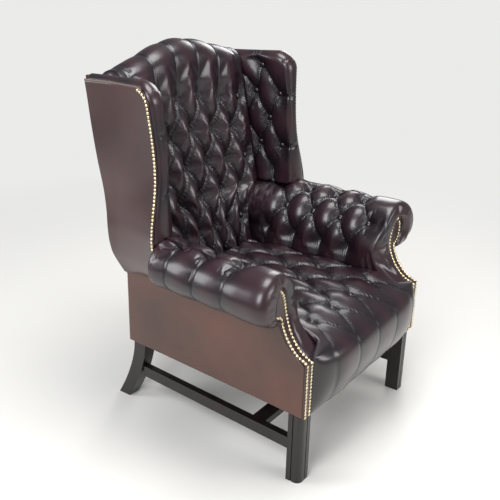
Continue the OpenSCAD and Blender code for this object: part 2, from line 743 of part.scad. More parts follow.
module zigzag_spring() {
    for (i = [0:spring_turns - 1])
        translate([0, (i + 0.5) * spring_run, 0]) {
            if (i < spring_turns - 1)
                translate([i % 2 == 0 ? spring_half : -spring_half, spring_run / 2, 0])
                    rotate(i % 2 == 0 ? -90 : 90)
                        half_turn();
            translate([-spring_half, 0, 0])
                rotate([0, 90, 0])
                    cylinder(d = spring_wire_d, h = 2 * spring_half, $fn = 16);
        }
}

module seat_springs() {
    color("#8d9094") placed()
        for (i = [0:springs - 1])
            translate([spring_x(i), rail_t / 2 - spring_run / 2 + spring_wire_d, spring_z])
                zigzag_spring();
}

clip_t = 1.2;
clip_w = spring_half * 1.4;
module spring_clips() {
    color("#9a8f70") placed()
        for (i = [0:springs - 1])
            for (y = [rail_t / 2 + spring_wire_d, rail_t / 2 + spring_wire_d + (spring_turns - 1) * spring_run])
                translate([spring_x(i) - clip_w / 2, y, rail_top + gap / 2])
                    difference() {
                        translate([0, -spring_wire_d * 1.6, 0])
                            cube([clip_w, spring_wire_d * 3.2, spring_wire_d * 2 + clip_t]);
                        translate([-over, 0, spring_wire_d - gap / 2])
                            rotate([0, 90, 0])
                                cylinder(d = spring_wire_d + 2 * gap, h = clip_w + 2 * over);
                    }
}

hessian_z = spring_z + spring_wire_d * 2 + clip_t;
module seat_hessian() {
    color("#b59a6a") placed()
        translate([0, 0, hessian_z])
            linear_extrude(cloth_t)
                polygon([for (p = [[-1, rail_t], [1, rail_t], [1, rail_back_y], [-1, rail_back_y]])
                    [p[0] * (arm_in_half - arm_shift(p[1]) - over), p[1]]]);
}

module dust_cover() {
    inset = leg_w + gap;
    color("#26262a") placed()
        translate([0, 0, leg_h])
            linear_extrude(cloth_t)
                polygon([[-rail_front_half + gap, over], [rail_front_half - gap, over], [rail_front_half - gap, inset],
                         [side_x(inset) - frame_side, inset], [side_x(rail_back_y) - frame_side, rail_back_y - gap],
                         [rear_leg_x - gap, rail_back_y - gap], [rear_leg_x - gap, body_d - post_rear],
                         [-rear_leg_x + gap, body_d - post_rear], [-rear_leg_x + gap, rail_back_y - gap],
                         [-side_x(rail_back_y) + frame_side, rail_back_y - gap], [-side_x(inset) + frame_side, inset],
                         [-rail_front_half + gap, inset]]);
}

back_straps = 4;
module back_webbing() {
    levels = [lower_rail_z, max(lower_rail_z + over, rake_z), crest_bottom + rail_t];
    function strap_y(z) = frame_front_y(z) + leg_w - rail_t - gap;
    color("#8a744c") placed()
        for (i = [0:back_straps - 1])
            let (x = (i - (back_straps - 1) / 2) * rear_leg_x * 1.7 / back_straps)
            side_board(x - webbing_w / 2, x + webbing_w / 2)
                polygon(concat([for (z = levels) [strap_y(z), z]],
                               [for (k = [2:-1:0]) [strap_y(levels[k]) - cloth_t, levels[k]]]));
}

// Seat: rows run up the front, over the edge and back to the crevice.
// Front profile as shares: [share of the bulge, share of the height]
seat_columns = 20;
seat_front_shares = [[0.07, 0], [0.44, 0.08], [0.68, 0.19], [0.86, 0.31], [0.97, 0.43], [1, 0.55],
                     [0.95, 0.655], [0.77, 0.745], [0.44, 0.81], [0, 0.86]];
seat_front_rows = len(seat_front_shares) - 1;
seat_rows = 34;
seat_row_d = 22;
seat_button_y = 78;
seat_field = [[8, 12], [2, 18, 8, 34], [4, 16, 12, 32]];
seat_crown = 15;
seat_wide = facing_in - gap;
seat_cell = (arm_in_half - over) / 8.3;
seat_under_z = hessian_z + cloth_t + gap;
function seat_depth(j) = j <= seat_front_rows ? -front_lip - seat_bulge * seat_front_shares[j][0]
    : j <= 12 ? lerp(-front_lip, seat_button_y, (j - seat_front_rows) / (12 - seat_front_rows))
    : min(back_face_y - over, seat_button_y + (j - 12) * seat_row_d);
function seat_level(j) = j <= seat_front_rows ? lerp(leg_h, seat_h, seat_front_shares[j][1])
    : seat_h - (seat_h - leg_h) * (1 - seat_front_shares[seat_front_rows][1]) * pow(1 - clamp01((j - seat_front_rows) / (13 - seat_front_rows)), 1.6);
// Half width: the full front, then along the arms' padded fronts and between the arms
function seat_half(y) = let (t = clamp01((y + front_lip + rim_proud / 2) / (arm_front_r + rim_proud / 2)))
    lerp(seat_wide, arm_in_half - arm_shift(max(0, y)) - 2 * over, 1 - pow(1 - t, 6));
function seat_x(i, half) = let (c = i - seat_columns / 2, n = seat_columns / 2, a = abs(c), g = seat_cell * half / max(half, seat_wide) )
    sign(c) * (a <= n - 2 ? a * min(seat_cell, half / (n - 1.7)) : lerp((n - 2) * min(seat_cell, half / (n - 1.7)), half, pow((a - n + 2) / 2, 0.75)));
function seat_side(i) = 1 - pow(abs(2 * i / seat_columns - 1), 9);
function seat_slope(j) = let (a = max(0, j - 0.5), b = min(seat_rows, j + 0.5), p = [seat_depth(floor(a)), seat_level(floor(a))],
                              q = [seat_depth(ceil(b)), seat_level(ceil(b))]) (q - p) / norm(q - p);
function seat_point(i, j) =
    let (y = seat_depth(j), z = seat_level(j), d = seat_slope(j), side = seat_side(i),
         down = sunk(i, j, seat_field, seat_tuft) * (j < 8 ? lerp(0.15, 0.6, j / 8) : 1) * (j == 0 ? 0 : 1))
    [seat_x(i, seat_half(y)), lerp(min(y, -front_lip), y, j > seat_front_rows ? 1 : side) + (j > seat_front_rows ? 0 : (1 - side) * (-front_lip - min(y, -front_lip))) + down * d[1] * side,
     z - down * d[0] * lerp(0.6, 1, side) - seat_crown * (1 - side) * clamp01((j - 5) / 4)];
// Lining under the seat: behind the front drop, over the rail, along the hessian
function seat_under(j) = let (y = seat_depth(j), z = seat_level(j), h = seat_half(y))
    [for (u = [-1, 1]) z < seat_under_z ? [u * seat_wide, -gap, z]
        : j < seat_front_rows ? [u * seat_wide, -gap + (j - 4) * gap, seat_under_z]
        : [u * min(seat_wide, h), max(rail_t * (j - seat_front_rows + 1) / 4, y), seat_under_z]];

module seat() {
    color("#3a2226") placed()
        padded_solid([for (j = [0:seat_rows]) [for (i = row_columns(seat_columns, j)) seat_point(i, j)]],
                     [for (j = [0:seat_rows]) seat_under(j)]);
}

// Inside back: rows run up from the crevice and over the camel top
back_columns = 22;
back_rows = [0, 26, 34];
back_field = [[11, 18], [1, 21, 2, 22], [1, 21, 2, 22]];
back_low_z = seat_h - crevice_drop * 1.2;
back_lining_columns = 8;
function back_half(z) = min(wing_pad_x(back_skin_y(z) + back_t),
                            z < arm_h ? arm_inner_x(z) - arm_shift(back_skin_y(z) + back_pad_t) : front_half) - over;
function back_level(x, j) = lerp(back_low_z, camel_z(x) - crest_r, min(1, j / back_rows[1]));
function back_arc(j) = 180 - 168 * max(0, j - back_rows[1]) / (back_rows[2] - back_rows[1]);
// A point of the back, at a depth below the crown
function back_at(x, j, down) =
    let (z = back_level(x, j), a = back_arc(j), mid = back_skin_y(z) + back_t / 2)
    j <= back_rows[1] ? [x, back_skin_y(z) + down * cos(back_rake), z - down * sin(back_rake)]
    : [x, mid + (crest_r - down) * cos(a), z + (crest_r - down) * sin(a)];
function back_point(i, j) =
    let (u = 2 * i / back_columns - 1, nominal = back_level(rear_half, j), x = u * back_half(nominal),
         edge = 1 - pow(abs(u), 8), tail = j > back_rows[1] ? 1 - (j - back_rows[1]) / (back_rows[2] - back_rows[1]) : 1)
    back_at(x, j, sunk(i, j, back_field, back_tuft) * edge * tail);
function back_under(j) =
    [for (k = [0:back_lining_columns])
        let (u = 2 * k / back_lining_columns - 1, x = u * back_half(back_level(rear_half, j)), a = back_arc(j),
             z = back_level(x, j))
        j <= back_rows[1] ? [x, back_skin_y(z) + back_pad_t, z]
        : [x, back_skin_y(z) + back_pad_t + (back_t - back_pad_t - skin_t) * (j - back_rows[1]) / (back_rows[2] - back_rows[1]), z + gap]];

module inside_back() {
    color("#33191d") placed()
        padded_solid([for (j = [0:back_rows[2]]) [for (i = row_columns(back_columns, j)) back_point(i, j)]],
                     [for (j = [0:back_rows[2]]) back_under(j)]);
}

// Inside wing: columns run from the back forward, rows run up. The last columns and rows turn
// round the wing's edge, and fan out at its corner
wing_columns = 8;
wing_rows = 19;
wing_turns = 5;
wing_turn_angle = 156;
wing_fan = 3;
wing_top_full = 0.2;
wing_field = [[3, 6], [1, 7, 2, 18], [3, 7, 2, 18]];
board_back = skin_t + wing_board_t;
function wing_rear_y(z, j) = let (t = clamp01((j - wing_rows + 3) / 3))
    lerp(back_skin_y(z) + back_pad_t - gap, rear_y(z) - skin_t - over, t);
function wing_nominal_z(j, d) = lerp(arm_h, arc_point(45, d)[1], min(1, j / wing_rows));
function wing_foot(x, y, top, j) = let (t = min(1, j / wing_rows)) lerp(arm_top_z(x, y) + 3 * over, top, t);
// Place on the flat's edge that a turned point starts from: [depth, height or nothing, direction]
function wing_start(i, j) =
    let (p = max(0, i - wing_columns), q = max(0, j - wing_rows), zn = wing_nominal_z(j, wing_turn_r), r = wing_corner_r - wing_turn_r,
         yn = lerp(wing_rear_y(zn, j), arc_point(45, wing_turn_r)[0], i / wing_columns))
    p > 0 && q > 0 ? concat(arc_point(45 + (q - p) * wing_fan, wing_turn_r), [45 + (q - p) * wing_fan])
    : q > 0 ? (yn >= corner_c[0] ? [yn, edge_z(yn, wing_turn_r), 90]
        : let (f = 90 - (90 - acos((corner_c[0] - yn) / r)) * (1 - q * wing_fan / 45)) concat(arc_point(f, wing_turn_r), [f]))
    : zn <= corner_c[1] ? [edge_y(zn, wing_turn_r), undef, 0]
        : let (f = asin((zn - corner_c[1]) / r) * (1 - p * wing_fan / 45)) concat(arc_point(f, wing_turn_r), [f]);
function wing_panel_in_x(y, z) = wing_out_x(y, z) - skin_t - 3 * over;
function wing_pad_at(i, j, down) =
    let (p = max(0, i - wing_columns), q = max(0, j - wing_rows), w = max(p, q) / wing_turns)
    w == 0 ? let (zn = wing_nominal_z(j, wing_turn_r), y = lerp(wing_rear_y(zn, j), edge_y(zn, wing_turn_r), i / wing_columns),
                  x = wing_pad_x(y) + down)
        [x, y, wing_foot(x, y, edge_z(y, wing_turn_r), j)]
    : let (s = wing_start(i, j), a = wing_turn_angle * w, run = wing_turn_r * sin(a), y = s[0] - run * cos(s[2]),
           inner = wing_pad_x(s[0]), zs = is_undef(s[1]) ? wing_nominal_z(j, wing_turn_r) : s[1],
           outer = wing_panel_in_x(y, zs + run * sin(s[2]) * (1 + wing_top_full * pow(sin(s[2]), 4))) - over,
           x = inner + (outer - inner) * (1 - cos(a)) / (1 - cos(wing_turn_angle)) + down * max(0, cos(a)))
        [x, y, is_undef(s[1]) ? wing_foot(x, y, arc_point(45, wing_turn_r)[1], j) : s[1] + run * sin(s[2]) * (1 + wing_top_full * pow(sin(s[2]), 4))];
function wing_point(i, j) =
    let (fade = min(1, i / 2) * clamp01((wing_rows + 2 - j) / 2) * (i > wing_columns ? clamp01((wing_columns + 3 - i) / 3) : 1))
    wing_pad_at(i, j, sunk(i, j, wing_field, wing_tuft) * fade);
// Lining: along the board's inner face, then over its top edge and front edge
function wing_under(j) =
    let (q = max(0, j - wing_rows - 1) / (wing_turns - 1), zn = wing_nominal_z(j, board_back), rear = wing_rear_y(zn, j),
         front = edge_y(zn, board_back) - 2 * over, top = j > wing_rows, mid = top ? corner_c[0] + over * q : front,
         tip = j >= wing_rows ? arc_point(45, board_back - 8 * over) + [over * max(0, j - wing_rows) / 4, 0] : [front, 0])
    [for (p = [[board_in_x(rear) - gap, rear], [board_in_x(mid) - gap, mid]])
        [lerp(p[0], wing_panel_in_x(p[1], zn) - 5 * over, q), p[1],
         top ? edge_z(p[1], board_back) + 2 * over : wing_foot(p[0], p[1], edge_z(p[1], board_back) + gap, j)],
     [wing_panel_in_x(tip[0], zn) - gap, tip[0], j >= wing_rows ? tip[1] : wing_foot(board_in_x(front), front, edge_z(front, board_back) + gap, j)]];

module inside_wing(side) {
    color("#33191d") on_side(side)
        padded_solid([for (j = [0:wing_rows + wing_turns]) [for (i = row_columns(wing_columns + wing_turns, j)) wing_point(i, j)]],
                     [for (j = [0:wing_rows + wing_turns]) wing_under(j)]);
}

// Inside arm: columns run forward from the back and round the arm's front, rows run round the section
arm_columns = [21, 26];
// Columns up to the last one that stands at a button's depth, and the column of the first button
arm_even = [18, 8];
arm_cell = 25;
arm_button_y = 404;
arm_field = [[0, 12], [-4, 10, 4, 12], [-4, 10, 4, 12]];
arm_fullness = 0.6;
arm_rear_y = back_face_y + back_pad_t;
// How far the rim stands ahead of the facing round the section, as shares
proud_shares = [[0, 0.35], [9, 0.35], [12, 0.5], [15, 1], [21, 1], [24, 0.35]];
function arm_end_y(j) = j <= arm_rows[1] ? arm_rear_y
    : wing_line_y(arm_section(j, arm_skin, arm_low_z)[1]) + panel_back - 3 * over;
function arm_even_y(i) = arm_button_y - (i - arm_even[1]) * arm_cell;
function arm_column_y(i, j, front) = i > arm_even[0] ? lerp(arm_even_y(arm_even[0]), front, (i - arm_even[0]) / (arm_columns[0] - arm_even[0]))
    : j <= arm_rows[1] ? min(arm_even_y(i), arm_rear_y - i * over) : lerp(arm_end_y(j), arm_even_y(arm_even[0]), i / arm_even[0]);
function arm_face_y(z) = face_y(max(corner_z + over, z));
function arm_spot(i, j, down) =
    let (w = max(0, i - arm_columns[0]) / (arm_columns[1] - arm_columns[0]),
         k = w >= 1 ? 1 : 1 - pow(cos(90 * w), arm_fullness), s = [for (c = [0:7]) lerp(arm_skin[c], arm_rim[c], k)],
         p = arm_section(j, s, arm_low_z), front = arm_face_y(p[1]) + arm_front_r,
         y = w == 0 ? arm_column_y(i, j, front)
             : w >= 1 ? front - arm_front_r
             : front - (arm_front_r + rim_proud * lookup(j, proud_shares)) * pow(sin(90 * w), arm_fullness),
         t = arm_section(min(j + 0.5, arm_rows[3]), s, arm_low_z) - arm_section(max(j - 0.5, 0), s, arm_low_z), l = norm(t))
    [p[0] - arm_shift(y) + down * t[1] / l, y, p[1] - down * t[0] / l];
function arm_lattice(y) = (arm_button_y - y) / arm_cell;
function arm_point(i, j) =
    let (y = arm_spot(i, j, 0)[1], w = max(0, i - arm_columns[0]) / (arm_columns[1] - arm_columns[0]))
    arm_spot(i, j, sunk(arm_lattice(y), j, arm_field, arm_tuft) * max(0, 1 - 2 * w) * (j == 0 || j == arm_rows[3] ? 0.3 : 1));
function arm_under(j) =
    let (p = arm_section(j, arm_core, arm_low_z), r = arm_section(j, arm_rim, arm_low_z),
         yc = arm_face_y(p[1]) + arm_front_r, yr = arm_face_y(r[1]) + facing_t)
    [[p[0] - arm_shift(arm_end_y(j)), arm_end_y(j), p[1]], [p[0] - arm_shift(yc), yc, p[1]], [r[0] - arm_shift(yr), yr, r[1]]];

module inside_arm(side) {
    color("#3a2226") on_side(side)
        padded_solid([for (j = [0:arm_rows[3]]) [for (i = row_columns(arm_columns[1], j)) arm_point(i, j)]],
                     [for (j = [0:arm_rows[3]]) arm_under(j)]);
}

// Outside panels
back_steps = 20;
module outside_back() {
    half = rear_half - skin_t - gap;
    color("#5a3430") placed()
        intersection() {
            side_board(-chair_w / 2, chair_w / 2)
                polygon(concat(
                    [for (p = [0, -skin_t]) [body_d + p, leg_h]],
                    [for (k = [0:back_steps]) let (z = lerp(rake_z, chair_h, k / back_steps)) [rear_y(z) - skin_t, z]],
                    [for (k = [back_steps:-1:0]) let (z = lerp(rake_z, chair_h, k / back_steps)) [rear_y(z), z]]));
            front_board(0, body_d * 2)
                polygon(concat([[-half, wing_seam_z - gap], [-half, leg_h], [half, leg_h], [half, wing_seam_z - gap]],
                    [for (j = [0:shell_rows]) let (p = shell_point(0, j, skin_t + gap)) [p[0], p[2]]],
                    [for (i = [0:crest_steps]) let (x = lerp(rear_half, -rear_half, i / crest_steps)) [x, camel_z(x) - outside_back_drop]],
                    [for (j = [shell_rows:-1:0]) let (p = shell_point(0, j, skin_t + gap)) [-p[0], p[2]]]));
        }
}

module side_panel(side) {
    y1 = body_d;
    color("#6a3f38") on_side(side)
        intersection() {
            translate([0, 0, leg_h])
                linear_extrude(arm_h)
                    polygon([[side_x(0) + side_taper * (facing_t - front_lip), facing_t - front_lip], [side_x(y1), y1],
                             [side_x(y1) - skin_t, y1], [side_x(0) - skin_t, facing_t - front_lip]]);
            side_board(0, chair_w)
                polygon(concat(
                    [[facing_t - front_lip + gap, leg_h], [y1, leg_h], [y1, wing_seam_z - over], [wing_front_y, arm_skin[6] - over]],
                    [for (i = [face_steps:-1:0]) let (z = lerp(corner_z, arm_rim[2], i / face_steps)) if (z < arm_skin[6] - over) [face_y(z) + facing_t + gap, z]],
                    [[facing_t - front_lip + gap, corner_z]]));
        }
}

shell_columns = 9;
shell_rows = 16;
function shell_point(i, j, depth) =
    let (t = pow(j / shell_rows, 1.6), top = arc_point(45, panel_back)[1], u = 1 - pow(1 - i / shell_columns, 1.3),
         y = lerp(rear_y(lerp(wing_seam_z, top, t)) - gap, edge_y(lerp(arm_skin[6], top, t), panel_back), u),
         z = lerp(wing_seam(y), edge_z(y, panel_back), t))
    [wing_out_x(y, z) - depth, y, z];

module outside_wing(side) {
    color("#6a3f38") on_side(side)
        padded_solid([for (j = [0:shell_rows]) [for (i = row_columns(shell_columns, j)) shell_point(shell_columns - i, j, 0)]],
                     [for (j = [0:shell_rows]) [for (i = [0:shell_columns]) shell_point(shell_columns - i, j, skin_t)]]);
}

module arm_facing(side) {
    color("#5f3833") on_side(side) {
        intersection() {
            arm_band(0, facing_t);
            front_board(-sweep_d, body_d)
                polygon(facing_outline(gap, corner_z));
        }
        translate([facing_in + gap, -front_lip, leg_h])
            cube([facing_w - 2 * gap, facing_t, corner_z - leg_h]);
    }
}

// Covered buttons: a domed head on a gathered neck that points into its pit
module button() {
    neck = button_d * 0.04;
    rise = button_h * 0.72;
    translate([0, 0, 3 * gap])
        rotate_extrude($fn = 24)
            polygon(concat([[0, 0], [neck, 0], [button_d / 2, rise]],
                [for (a = [15:15:90]) [button_d / 2 * cos(a), rise + (button_h - rise) * sin(a)]]));
}

// A button that stands at a pit and points along a direction
module button_at(p, dir) {
    tilt = acos(dir[2] / norm(dir));
    translate(p)
        rotate([0, tilt, atan2(dir[1], dir[0])])
            button();
}

module seat_buttons() {
    color("#2a1518") placed()
        for (b = button_places(seat_field))
            button_at(seat_point(b[0], b[1]), [0, 0, 1]);
}

module back_buttons() {
    color("#2a1518") placed()
        for (b = button_places(back_field))
            button_at(back_point(b[0], b[1]), [0, -cos(back_rake), sin(back_rake)]);
}

module wing_buttons() {
    color("#2a1518") placed()
        for (m = [0, 1])
            mirror([m, 0, 0])
                for (b = button_places(wing_field))
                    button_at(wing_point(b[0], b[1]), [-1, 0, 0]);
}

module arm_buttons() {
    color("#2a1518") placed()
        for (m = [0, 1])
            mirror([m, 0, 0])
                for (b = button_places(arm_field))
                    let (i = arm_even[1] + b[0], p = arm_point(i, b[1]))
                    if (i > 0 && i < arm_columns[0]) button_at(p, arm_spot(i, b[1], 0) - arm_spot(i, b[1], arm_tuft));
}

// Brass nails
module nail() {
    r = (pow(nail_d / 2, 2) + nail_h * nail_h) / (2 * nail_h);
    translate([0, 0, 3 * gap])
        intersection() {
            translate([0, 0, nail_h - r])
                sphere(r, $fn = 32);
            cylinder(d = nail_d, h = nail_h * 2, $fn = 32);
        }
}

module nail_at(p, dir) {
    translate(p)
        rotate([0, acos(dir[2] / norm(dir)), atan2(dir[1], dir[0])])
            nail();
}

// Points spaced along a path, one nail pitch apart
function path_length(p) = len(p) < 2 ? 0 : norm(p[1] - p[0]) + path_length([for (i = [1:len(p) - 1]) p[i]]);
function walk(p, d, i = 0) = i >= len(p) - 2 || norm(p[i + 1] - p[i]) >= d
    ? lerp(p[i], p[i + 1], min(1, d / norm(p[i + 1] - p[i]))) : walk(p, d - norm(p[i + 1] - p[i]), i + 1);
function spaced(p) = let (l = path_length(p), n = floor(l / nail_pitch)) [for (k = [0:n]) walk(p, l * k / n)];

function face_slope(z) = (face_y(z + nail_d / 2) - face_y(z - nail_d / 2)) / nail_d;
facing_steps = 24;
nail_lift = 0.4;
function on_face(p) = [p[0], min(face_y(p[1]), (face_y(p[1] + nail_d / 2) + face_y(p[1] - nail_d / 2)) / 2), p[1]];
function facing_inner_path() = concat(
    [on_face(strip_in(leg_h + nail_inset, nail_inset)), on_face(strip_in(corner_z - over, nail_inset))],
    [for (k = [1:facing_steps]) on_face(strip_in(lerp(corner_z, arm_spring_z, pow(k / facing_steps, 2)), nail_inset))],
    [for (j = [arm_rows[0] + 1:arm_rows[1] + 1]) let (q = arm_section(j, rim_inset(nail_inset), corner_z)) on_face(face_shift(q[0], q[1]))]);
function facing_outer_path() = concat(
    [on_face(face_shift(front_half - nail_inset, leg_h + nail_inset)), on_face(face_shift(front_half - nail_inset, corner_z - over))],
    [for (k = [1:facing_steps]) on_face(face_shift(front_half - nail_inset, lerp(corner_z, arm_rim[6], pow(k / facing_steps, 2))))],
    [for (j = [arm_rows[3]:-1:arm_rows[1] + 3]) let (q = arm_section(j, rim_inset(nail_inset), corner_z)) on_face(face_shift(q[0], q[1]))]);

module facing_nails(side) {
    color("#b08a3c") on_side(side)
        for (path = [facing_inner_path(), facing_outer_path()])
            for (p = spaced(path))
                let (d = [0, -1, face_slope(p[2])])
                nail_at(p + d * over * nail_lift * min(1, d[2] / 2), d);
}

nail_line = panel_back + nail_inset;
nail_end_angle = 80;
function wing_nail_path() = let (z0 = arm_skin[6] + nail_d * 2) concat(
    [for (k = [0:facing_steps]) let (z = lerp(z0, corner_c[1], k / facing_steps), y = edge_y(z, nail_line)) [wing_out_x(y, z), y, z]],
    [for (f = [10:10:nail_end_angle]) let (p = arc_point(f, nail_line)) [wing_out_x(p[0], p[1]), p[0], p[1]]]);
module wing_nails(side) {
    color("#b08a3c") on_side(side)
        for (p = spaced(wing_nail_path()))
            nail_at(p, [over, wing_out_x(p[1], p[2]) - wing_out_x(p[1] + over, p[2]), wing_out_x(p[1], p[2]) - wing_out_x(p[1], p[2] + over)]);
}

// The left and right pieces
module front_leg_left() { front_leg("left"); }
module front_leg_right() { front_leg("right"); }
module rear_leg_left() { rear_leg("left"); }
module rear_leg_right() { rear_leg("right"); }
module side_stretcher_left() { side_stretcher("left"); }
module side_stretcher_right() { side_stretcher("right"); }
module side_rail_left() { side_rail("left"); }
module side_rail_right() { side_rail("right"); }
module arm_stump_left() { arm_stump("left"); }
module arm_stump_right() { arm_stump("right"); }
module arm_board_left() { arm_board("left"); }
module arm_board_right() { arm_board("right"); }
module arm_rail_left() { arm_rail("left"); }
module arm_rail_right() { arm_rail("right"); }
module wing_board_left() { wing_board("left"); }
module wing_board_right() { wing_board("right"); }
module inside_wing_left() { inside_wing("left"); }
module inside_wing_right() { inside_wing("right"); }
module inside_arm_left() { inside_arm("left"); }
module inside_arm_right() { inside_arm("right"); }
module side_panel_left() { side_panel("left"); }
module side_panel_right() { side_panel("right"); }
module outside_wing_left() { outside_wing("left"); }
module outside_wing_right() { outside_wing("right"); }
module arm_facing_left() { arm_facing("left"); }
module arm_facing_right() { arm_facing("right"); }
module facing_nails_left() { facing_nails("left"); }
module facing_nails_right() { facing_nails("right"); }
module wing_nails_left() { wing_nails("left"); }
module wing_nails_right() { wing_nails("right"); }

front_leg_left();
front_leg_right();
rear_leg_left();
rear_leg_right();
side_stretcher_left();
side_stretcher_right();
cross_stretcher();
front_rail();
back_rail();
side_rail_left();
side_rail_right();
corner_blocks();
crest_rail();
lower_back_rail();
arm_stump_left();
arm_stump_right();
arm_board_left();
arm_board_right();
arm_rail_left();
arm_rail_right();
wing_board_left();
wing_board_right();
frame_dowels();
seat_springs();
spring_clips();
seat_hessian();
back_webbing();
dust_cover();
seat();
inside_back();
inside_wing_left();
inside_wing_right();
inside_arm_left();
inside_arm_right();
outside_back();
side_panel_left();
side_panel_right();
outside_wing_left();
outside_wing_right();
arm_facing_left();
arm_facing_right();
seat_buttons();
back_buttons();
wing_buttons();
arm_buttons();
facing_nails_left();
facing_nails_right();
wing_nails_left();
wing_nails_right();
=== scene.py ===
"""Looks of the wingback chair: buttoned leather, smooth outside leather, brass nails and dark legs."""
import json
import math

import bpy
import numpy as np
from mathutils import Matrix, Vector


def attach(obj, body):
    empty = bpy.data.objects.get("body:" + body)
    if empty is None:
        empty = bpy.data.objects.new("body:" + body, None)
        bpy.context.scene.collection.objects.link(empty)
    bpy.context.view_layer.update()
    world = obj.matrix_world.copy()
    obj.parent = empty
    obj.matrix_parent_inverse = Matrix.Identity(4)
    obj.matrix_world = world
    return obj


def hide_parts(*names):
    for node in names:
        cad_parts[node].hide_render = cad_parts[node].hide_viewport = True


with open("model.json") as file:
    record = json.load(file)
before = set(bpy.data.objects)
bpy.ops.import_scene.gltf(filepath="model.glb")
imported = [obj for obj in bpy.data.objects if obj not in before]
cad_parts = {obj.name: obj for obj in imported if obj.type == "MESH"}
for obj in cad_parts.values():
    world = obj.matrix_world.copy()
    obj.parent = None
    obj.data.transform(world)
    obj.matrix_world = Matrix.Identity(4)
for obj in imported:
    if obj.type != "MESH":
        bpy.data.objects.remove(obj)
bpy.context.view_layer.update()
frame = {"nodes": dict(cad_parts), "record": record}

# The part's sizes in millimetres, with depths counted from the front legs' face. MIDDLE is the depth that
# the frame has at 0. RAKE and WING_LEAN are slopes, WING_TURN is an angle
MIDDLE = 365.202
FRONT_HALF, REAR_HALF, BODY_D = 331.0, 298.0, 663.0
LEG_H, SEAT_H, ARM_H, WING_H, CHAIR_H = 222.0, 438.0, 627.0, 1052.0, 1104.0
RAKE, RAKE_Z, BACK_T = math.tan(math.radians(10.5)), 430.0, 106.0
SKIN, LIP, CORNER_Z, SWEEP_D, SWEEP_H = 5.0, 7.0, 390.0, 94.0, 130.0
SIDE_TAPER = (FRONT_HALF - REAR_HALF) / BODY_D
WING_FRONT, WING_LEAN, WING_CORNER_R = 461.0, math.tan(math.radians(4.5)), 58.0
SEAM_Z, WING_TURN_R, PANEL_BACK = 455.0, 21.0, 11.0
FACING_IN, ARM_IN = FRONT_HALF - 31.0, 234.0
GAP, POST_T, REAR_PUFF, SEAT_BULGE, CREVICE_DROP = 0.3, 42.0, 17.0, 45.0, 56.0
SWELL_H, ROLL_HALF, ROLL_DROP, ROLL_OUT = 141.0, 74.0, 67.0, 28.0
ARM_FRONT_R, RIM_PROUD, CHAIR_HALF = 28.0, 22.0, 433.0
SCROLL_W, SCROLL_DROP, SCROLL_X_SHARE, FACING_T, FACING_LEAN = 72.0, 42.0, 0.58, 6.5, 4.0
WING_FLARE, WING_SPREAD, WING_DROP, WING_TURN = 100.0, 31.0, 16.0, math.radians(156)
BOARD_T, BOARD_OUT, PAD_FRONT, PAD_REAR = 13.0, 10.0, 25.0, 15.0
CREST_R = BACK_T / 2 - GAP
# Where the back's buttoning begins, below the seat
BACK_LOW = SEAT_H - CREVICE_DROP * 1.2
# Steps of the mesh to a column of the buttoning
STEPS = 6


def lerp(a, b, t):
    return a + (b - a) * t


def share(t):
    return np.clip(t, 0.0, 1.0)


def smooth_table(table, x):
    """A smooth curve through a table of places and values."""
    t = np.array(table, float)
    px, py = t[:, 0], t[:, 1]
    slope = np.gradient(py, px)
    k = np.clip(np.searchsorted(px, x) - 1, 0, len(px) - 2)
    h = px[k + 1] - px[k]
    s = np.clip((x - px[k]) / h, 0, 1)
    return ((2 * s**3 - 3 * s**2 + 1) * py[k] + (s**3 - 2 * s**2 + s) * h * slope[k]
            + (3 * s**2 - 2 * s**3) * py[k + 1] + (s**3 - s**2) * h * slope[k + 1])


# Body lines of the chair
def side_x(y):
    return lerp(FRONT_HALF, REAR_HALF, np.minimum(1, y / BODY_D))


def arm_shift(y):
    return SIDE_TAPER * y


def rake_run(z):
    return np.maximum(0, z - RAKE_Z) * RAKE


def rear_y(z):
    puff = smooth_table([(-0.03, 0), (0, 0.3), (0.03, 0.75), (0.08, 1), (0.16, 0.85), (0.3, 0.5), (0.5, 0.3),
                         (1, 0.25)], (z - SEAM_Z) / (WING_H - SEAM_Z))
    return BODY_D + rake_run(z) + REAR_PUFF * puff


def back_face_y(z):
    return BODY_D - BACK_T + rake_run(z)


def camel_z(x):
    return WING_H + (CHAIR_H - WING_H) * np.cos(np.pi / 2 * np.minimum(1, np.abs(x) / REAR_HALF)) ** 2


def sweep_y(z):
    s = share((CORNER_Z + SWEEP_H - z) / SWEEP_H)
    return np.where(z <= CORNER_Z, -LIP, -LIP + SWEEP_D * (1 - s**1.7) ** (1 / 1.7))


# The arm's section: inner x, top x, top z, outer x, middle z, seam x, seam z, inner x at the seat
ARM_SPRING = ARM_H - SWELL_H
ARM_SEAM = ARM_H - ROLL_HALF - ROLL_DROP
ARM_TOP_X = FRONT_HALF + ROLL_OUT
ARM_SKIN = [ARM_IN, ARM_TOP_X, ARM_H, CHAIR_HALF + SIDE_TAPER * SWEEP_D, ARM_H - ROLL_HALF,
            FRONT_HALF + GAP, ARM_SEAM, ARM_IN]
ARM_RIM = [FACING_IN - FACING_LEAN, FACING_IN + SCROLL_W * SCROLL_X_SHARE, ARM_H - SCROLL_DROP,
           FACING_IN + SCROLL_W, ARM_H - ROLL_HALF - 14, FRONT_HALF, ARM_SEAM + FACING_T, FACING_IN]
ARM_LOW = SEAT_H - CREVICE_DROP


